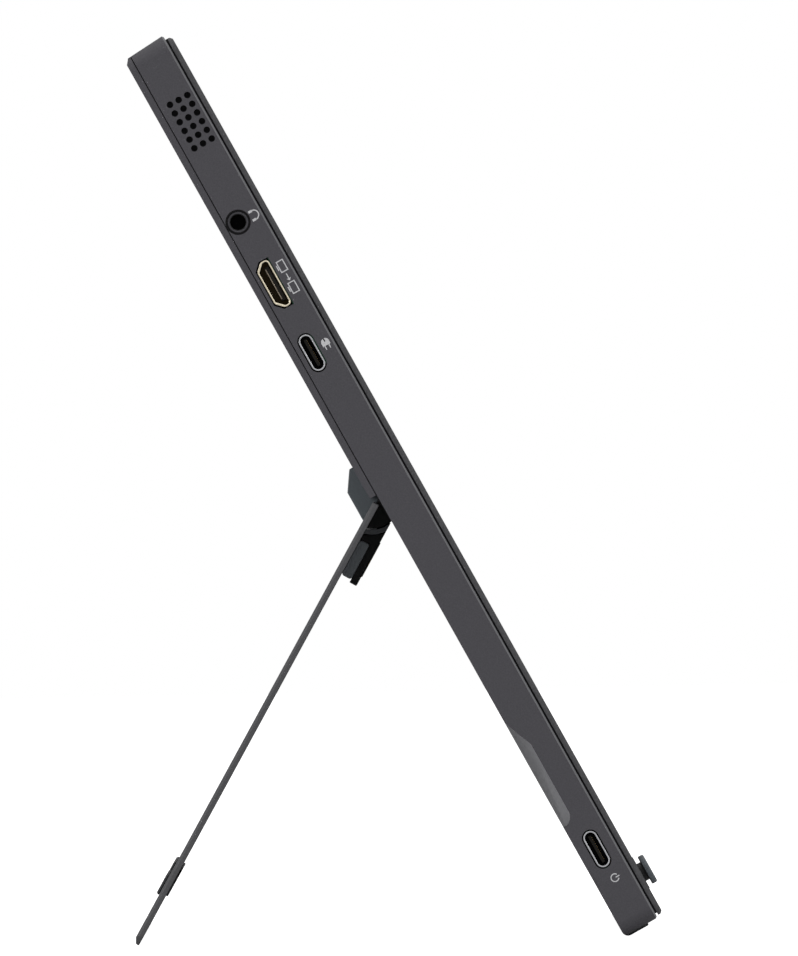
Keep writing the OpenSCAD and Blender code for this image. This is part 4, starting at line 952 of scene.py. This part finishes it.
# %% [markdown]
# ## Turned pieces
#
# The stick's cap, the ring and collar of the headphone jack and the felt seal in the hinge are all round,
# so each is one profile turned about an axis. The cap is dished for a fingertip and its rim is notched
# every 30 degrees.

# %% Navigation cap
def joined(bm, a, b):
    """Fills between two neighbouring profiles."""
    for i in range(len(a) - 1):
        bm.faces.new((a[i], a[i + 1], b[i + 1], b[i]))


def turned(profile, steps, wobble=lambda angle, r: r):
    """Turns (radius, along) points about the local Y axis."""
    bm = bmesh.new()
    rings = []
    for k in range(steps):
        angle = 2 * math.pi * k / steps
        shape = [(wobble(angle, r), along) for r, along in profile]
        rings.append([bm.verts.new((r * math.cos(angle), along, r * math.sin(angle))) for r, along in shape])
    for k in range(steps):
        joined(bm, rings[k], rings[(k + 1) % steps])
    bmesh.ops.remove_doubles(bm, verts=bm.verts, dist=1e-5)
    return bm


def ended(bm):
    """Closes every open end and makes all faces point outwards."""
    bmesh.ops.holes_fill(bm, edges=[edge for edge in bm.edges if edge.is_boundary], sides=0)
    bmesh.ops.recalc_face_normals(bm, faces=bm.faces)


def notched(angle, r):
    return r - 0.12 * max(0.0, math.cos(12 * angle)) ** 6 if r > 3.3 else r


NAV = Matrix.Translation((-167, 0, 10.5))
CAP_PROFILE = (
    (0, -2.2), (1.2, -2.22), (2.2, -2.3), (2.75, -2.42), (3.05, -2.45), (3.33, -2.38), (3.48, -2.2),
    (3.5, -1.9), (3.5, -1.25), (3.42, -1.1), (3.2, -1.05), (2.2, -1.05), (2.2, 1.15), (2.1, 1.2), (0, 1.2))
bm = turned(CAP_PROFILE, 96, notched)
ended(bm)
cap_mesh = mesh_from("nav_dished_cap", bm, MONITOR @ NAV, [finishes["hinge_trim"]], 40)
cap = add_piece("nav_dished_cap", cap_mesh, "nav_stick", ["nav_cap"])
paint_faces(cap, finishes["black_plastic"], lambda at, facing: at.y > -1.3)
print("cap:", len(cap_mesh.polygons), "faces")

# %% Ring and collar of the headphone jack, and the felt seal
def jack_round(name, profile, steps, x, material):
    place = Matrix.Translation((x, JACK[0], JACK[1])) @ Matrix.Rotation(-math.pi / 2, 4, "Z")
    bm = turned(profile, steps)
    bmesh.ops.recalc_face_normals(bm, faces=bm.faces)
    add_piece(name, mesh_from(name, bm, MONITOR @ place, [material], 40), "monitor")


RING_PROFILE = ((1.9, 0.6), (1.9, 0.02), (1.98, -0.06), (2.3, -0.06), (2.38, 0.02), (2.38, 0.1))
COLLAR_PROFILE = ((2.42, 0.5), (2.42, 0.02), (2.47, -0.03), (2.79, -0.03), (2.85, 0), (2.86, 0.05))
jack_round("jack_ring", RING_PROFILE, 48, RIM_X + 0.2, finishes["housing"])
# The collar is near-black painted shade for the shadowed gap round the jack
jack_round("jack_collar", COLLAR_PROFILE, 64, WALL_X, painted_socket_shade)

# The seal fills the gap between the drum's radius of 5.9 mm and the saddle's of 6.2 mm
SEAL_START, SEAL_STEP, SEAL_STEPS = -174, 3.267, 36
SEAL_PROFILE = ((-22, 5.9), (-22, 6.13), (-21.9, 6.19), (21.9, 6.19), (22, 6.13), (22, 5.9))
seal = []
for i in range(SEAL_STEPS + 1):
    angle = math.radians(SEAL_START + i * SEAL_STEP)
    seal.append((math.cos(angle), math.sin(angle)))
bm = bmesh.new()
rings = []
for x, r in SEAL_PROFILE:
    rings.append([bm.verts.new((x, hinge_mm.y + r * c, hinge_mm.z + r * s)) for c, s in seal])
for k in range(len(rings)):
    joined(bm, rings[k], rings[(k + 1) % len(rings)])
ended(bm)
add_piece("hinge_felt", mesh_from("hinge_felt", bm, MONITOR, [felt]), "monitor")
print("jack ring, jack collar and felt seal")

# %% [markdown]
# ## Marks beside the sockets
#
# Small pictograms are printed beside the sockets in pale ink. Each is a few flat shapes drawn on the side
# wall: u runs down the side and v towards the screen, as somebody who reads them sees them. The ink stands
# two hundredths of a millimetre off the wall. Only general pictograms are used: headphones, a screen, a
# plug and a power button.

# %% Marks
def arc_band(cu, cv, r0, r1, a0, a1, steps=20):
    """A curved band as a list of quads."""
    points = []
    for k in range(steps + 1):
        a = math.radians(a0 + (a1 - a0) * k / steps)
        points.append([(cu + r * math.cos(a), cv + r * math.sin(a)) for r in (r0, r1)])
    return [[p[0], p[1], q[1], q[0]] for p, q in zip(points, points[1:])]


def bar(u0, v0, u1, v1):
    return [[(u0, v0), (u1, v0), (u1, v1), (u0, v1)]]


def frame_of(u0, v0, u1, v1, w):
    return bar(u0, v0, u1, v0 + w) + bar(u0, v1 - w, u1, v1) + bar(u0, v0 + w, u0 + w, v1 - w) + bar(
        u1 - w, v0 + w, u1, v1 - w)


INK_X = (-181.02, -180.98)
MARKS = {
    "headphones": ((3.3, 182.2), arc_band(0, -0.2, 0.95, 1.22, 0, 180) + bar(-1.3, -1.05, -0.75, -0.15)
                   + bar(0.75, -1.05, 1.3, -0.15)),
    "screens": ((3.75, 166.4), frame_of(-4.1, -0.75, -1.3, 1.05, 0.24) + bar(-3.3, -1.1, -2.1, -0.86)
                + bar(-0.75, 0.03, 0.45, 0.27) + [[(0.4, -0.4), (1.0, 0.15), (0.4, 0.7)]]
                + frame_of(1.3, -0.75, 4.1, 1.05, 0.24) + bar(2.1, -1.1, 3.3, -0.86)),
    "plug": ((3.5, 149.0), bar(-1.35, -0.14, -0.5, 0.14) + arc_band(-0.4, 0, 0, 0.95, 90, 270, 12)
             + bar(-0.4, -0.95, 0.35, 0.95) + bar(0.35, 0.38, 1.25, 0.62) + bar(0.35, -0.62, 1.25, -0.38)),
    "power": ((5.6, 12.6), arc_band(0, 0, 0.75, 1.0, 120, 420, 28) + bar(-0.13, 0.2, 0.13, 1.15)),
}
for name, ((y, z), shapes) in MARKS.items():
    bm = bmesh.new()
    for shape in shapes:
        face = bm.faces.new([bm.verts.new((INK_X[0], y - v, z - u)) for u, v in shape])
        made = bmesh.ops.extrude_face_region(bm, geom=[face])
        for vert in (g for g in made["geom"] if isinstance(g, bmesh.types.BMVert)):
            vert.co.x = INK_X[1]
    bmesh.ops.recalc_face_normals(bm, faces=bm.faces)
    add_piece(name + "_mark", mesh_from(name + "_mark", bm, MONITOR, [pale_ink]), "monitor")
print("marks:", len(MARKS))

# %% [markdown]
# ## Sizes
#
# The solids set the object's size, so the dressed object's box is printed beside theirs.

# %% Sizes, and the end
dressed_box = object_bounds()
for name, corners in (("solids", cad_box), ("dressed", dressed_box)):
    print(name, [round(v * 1000, 2) for v in corners[1] - corners[0]], "mm")
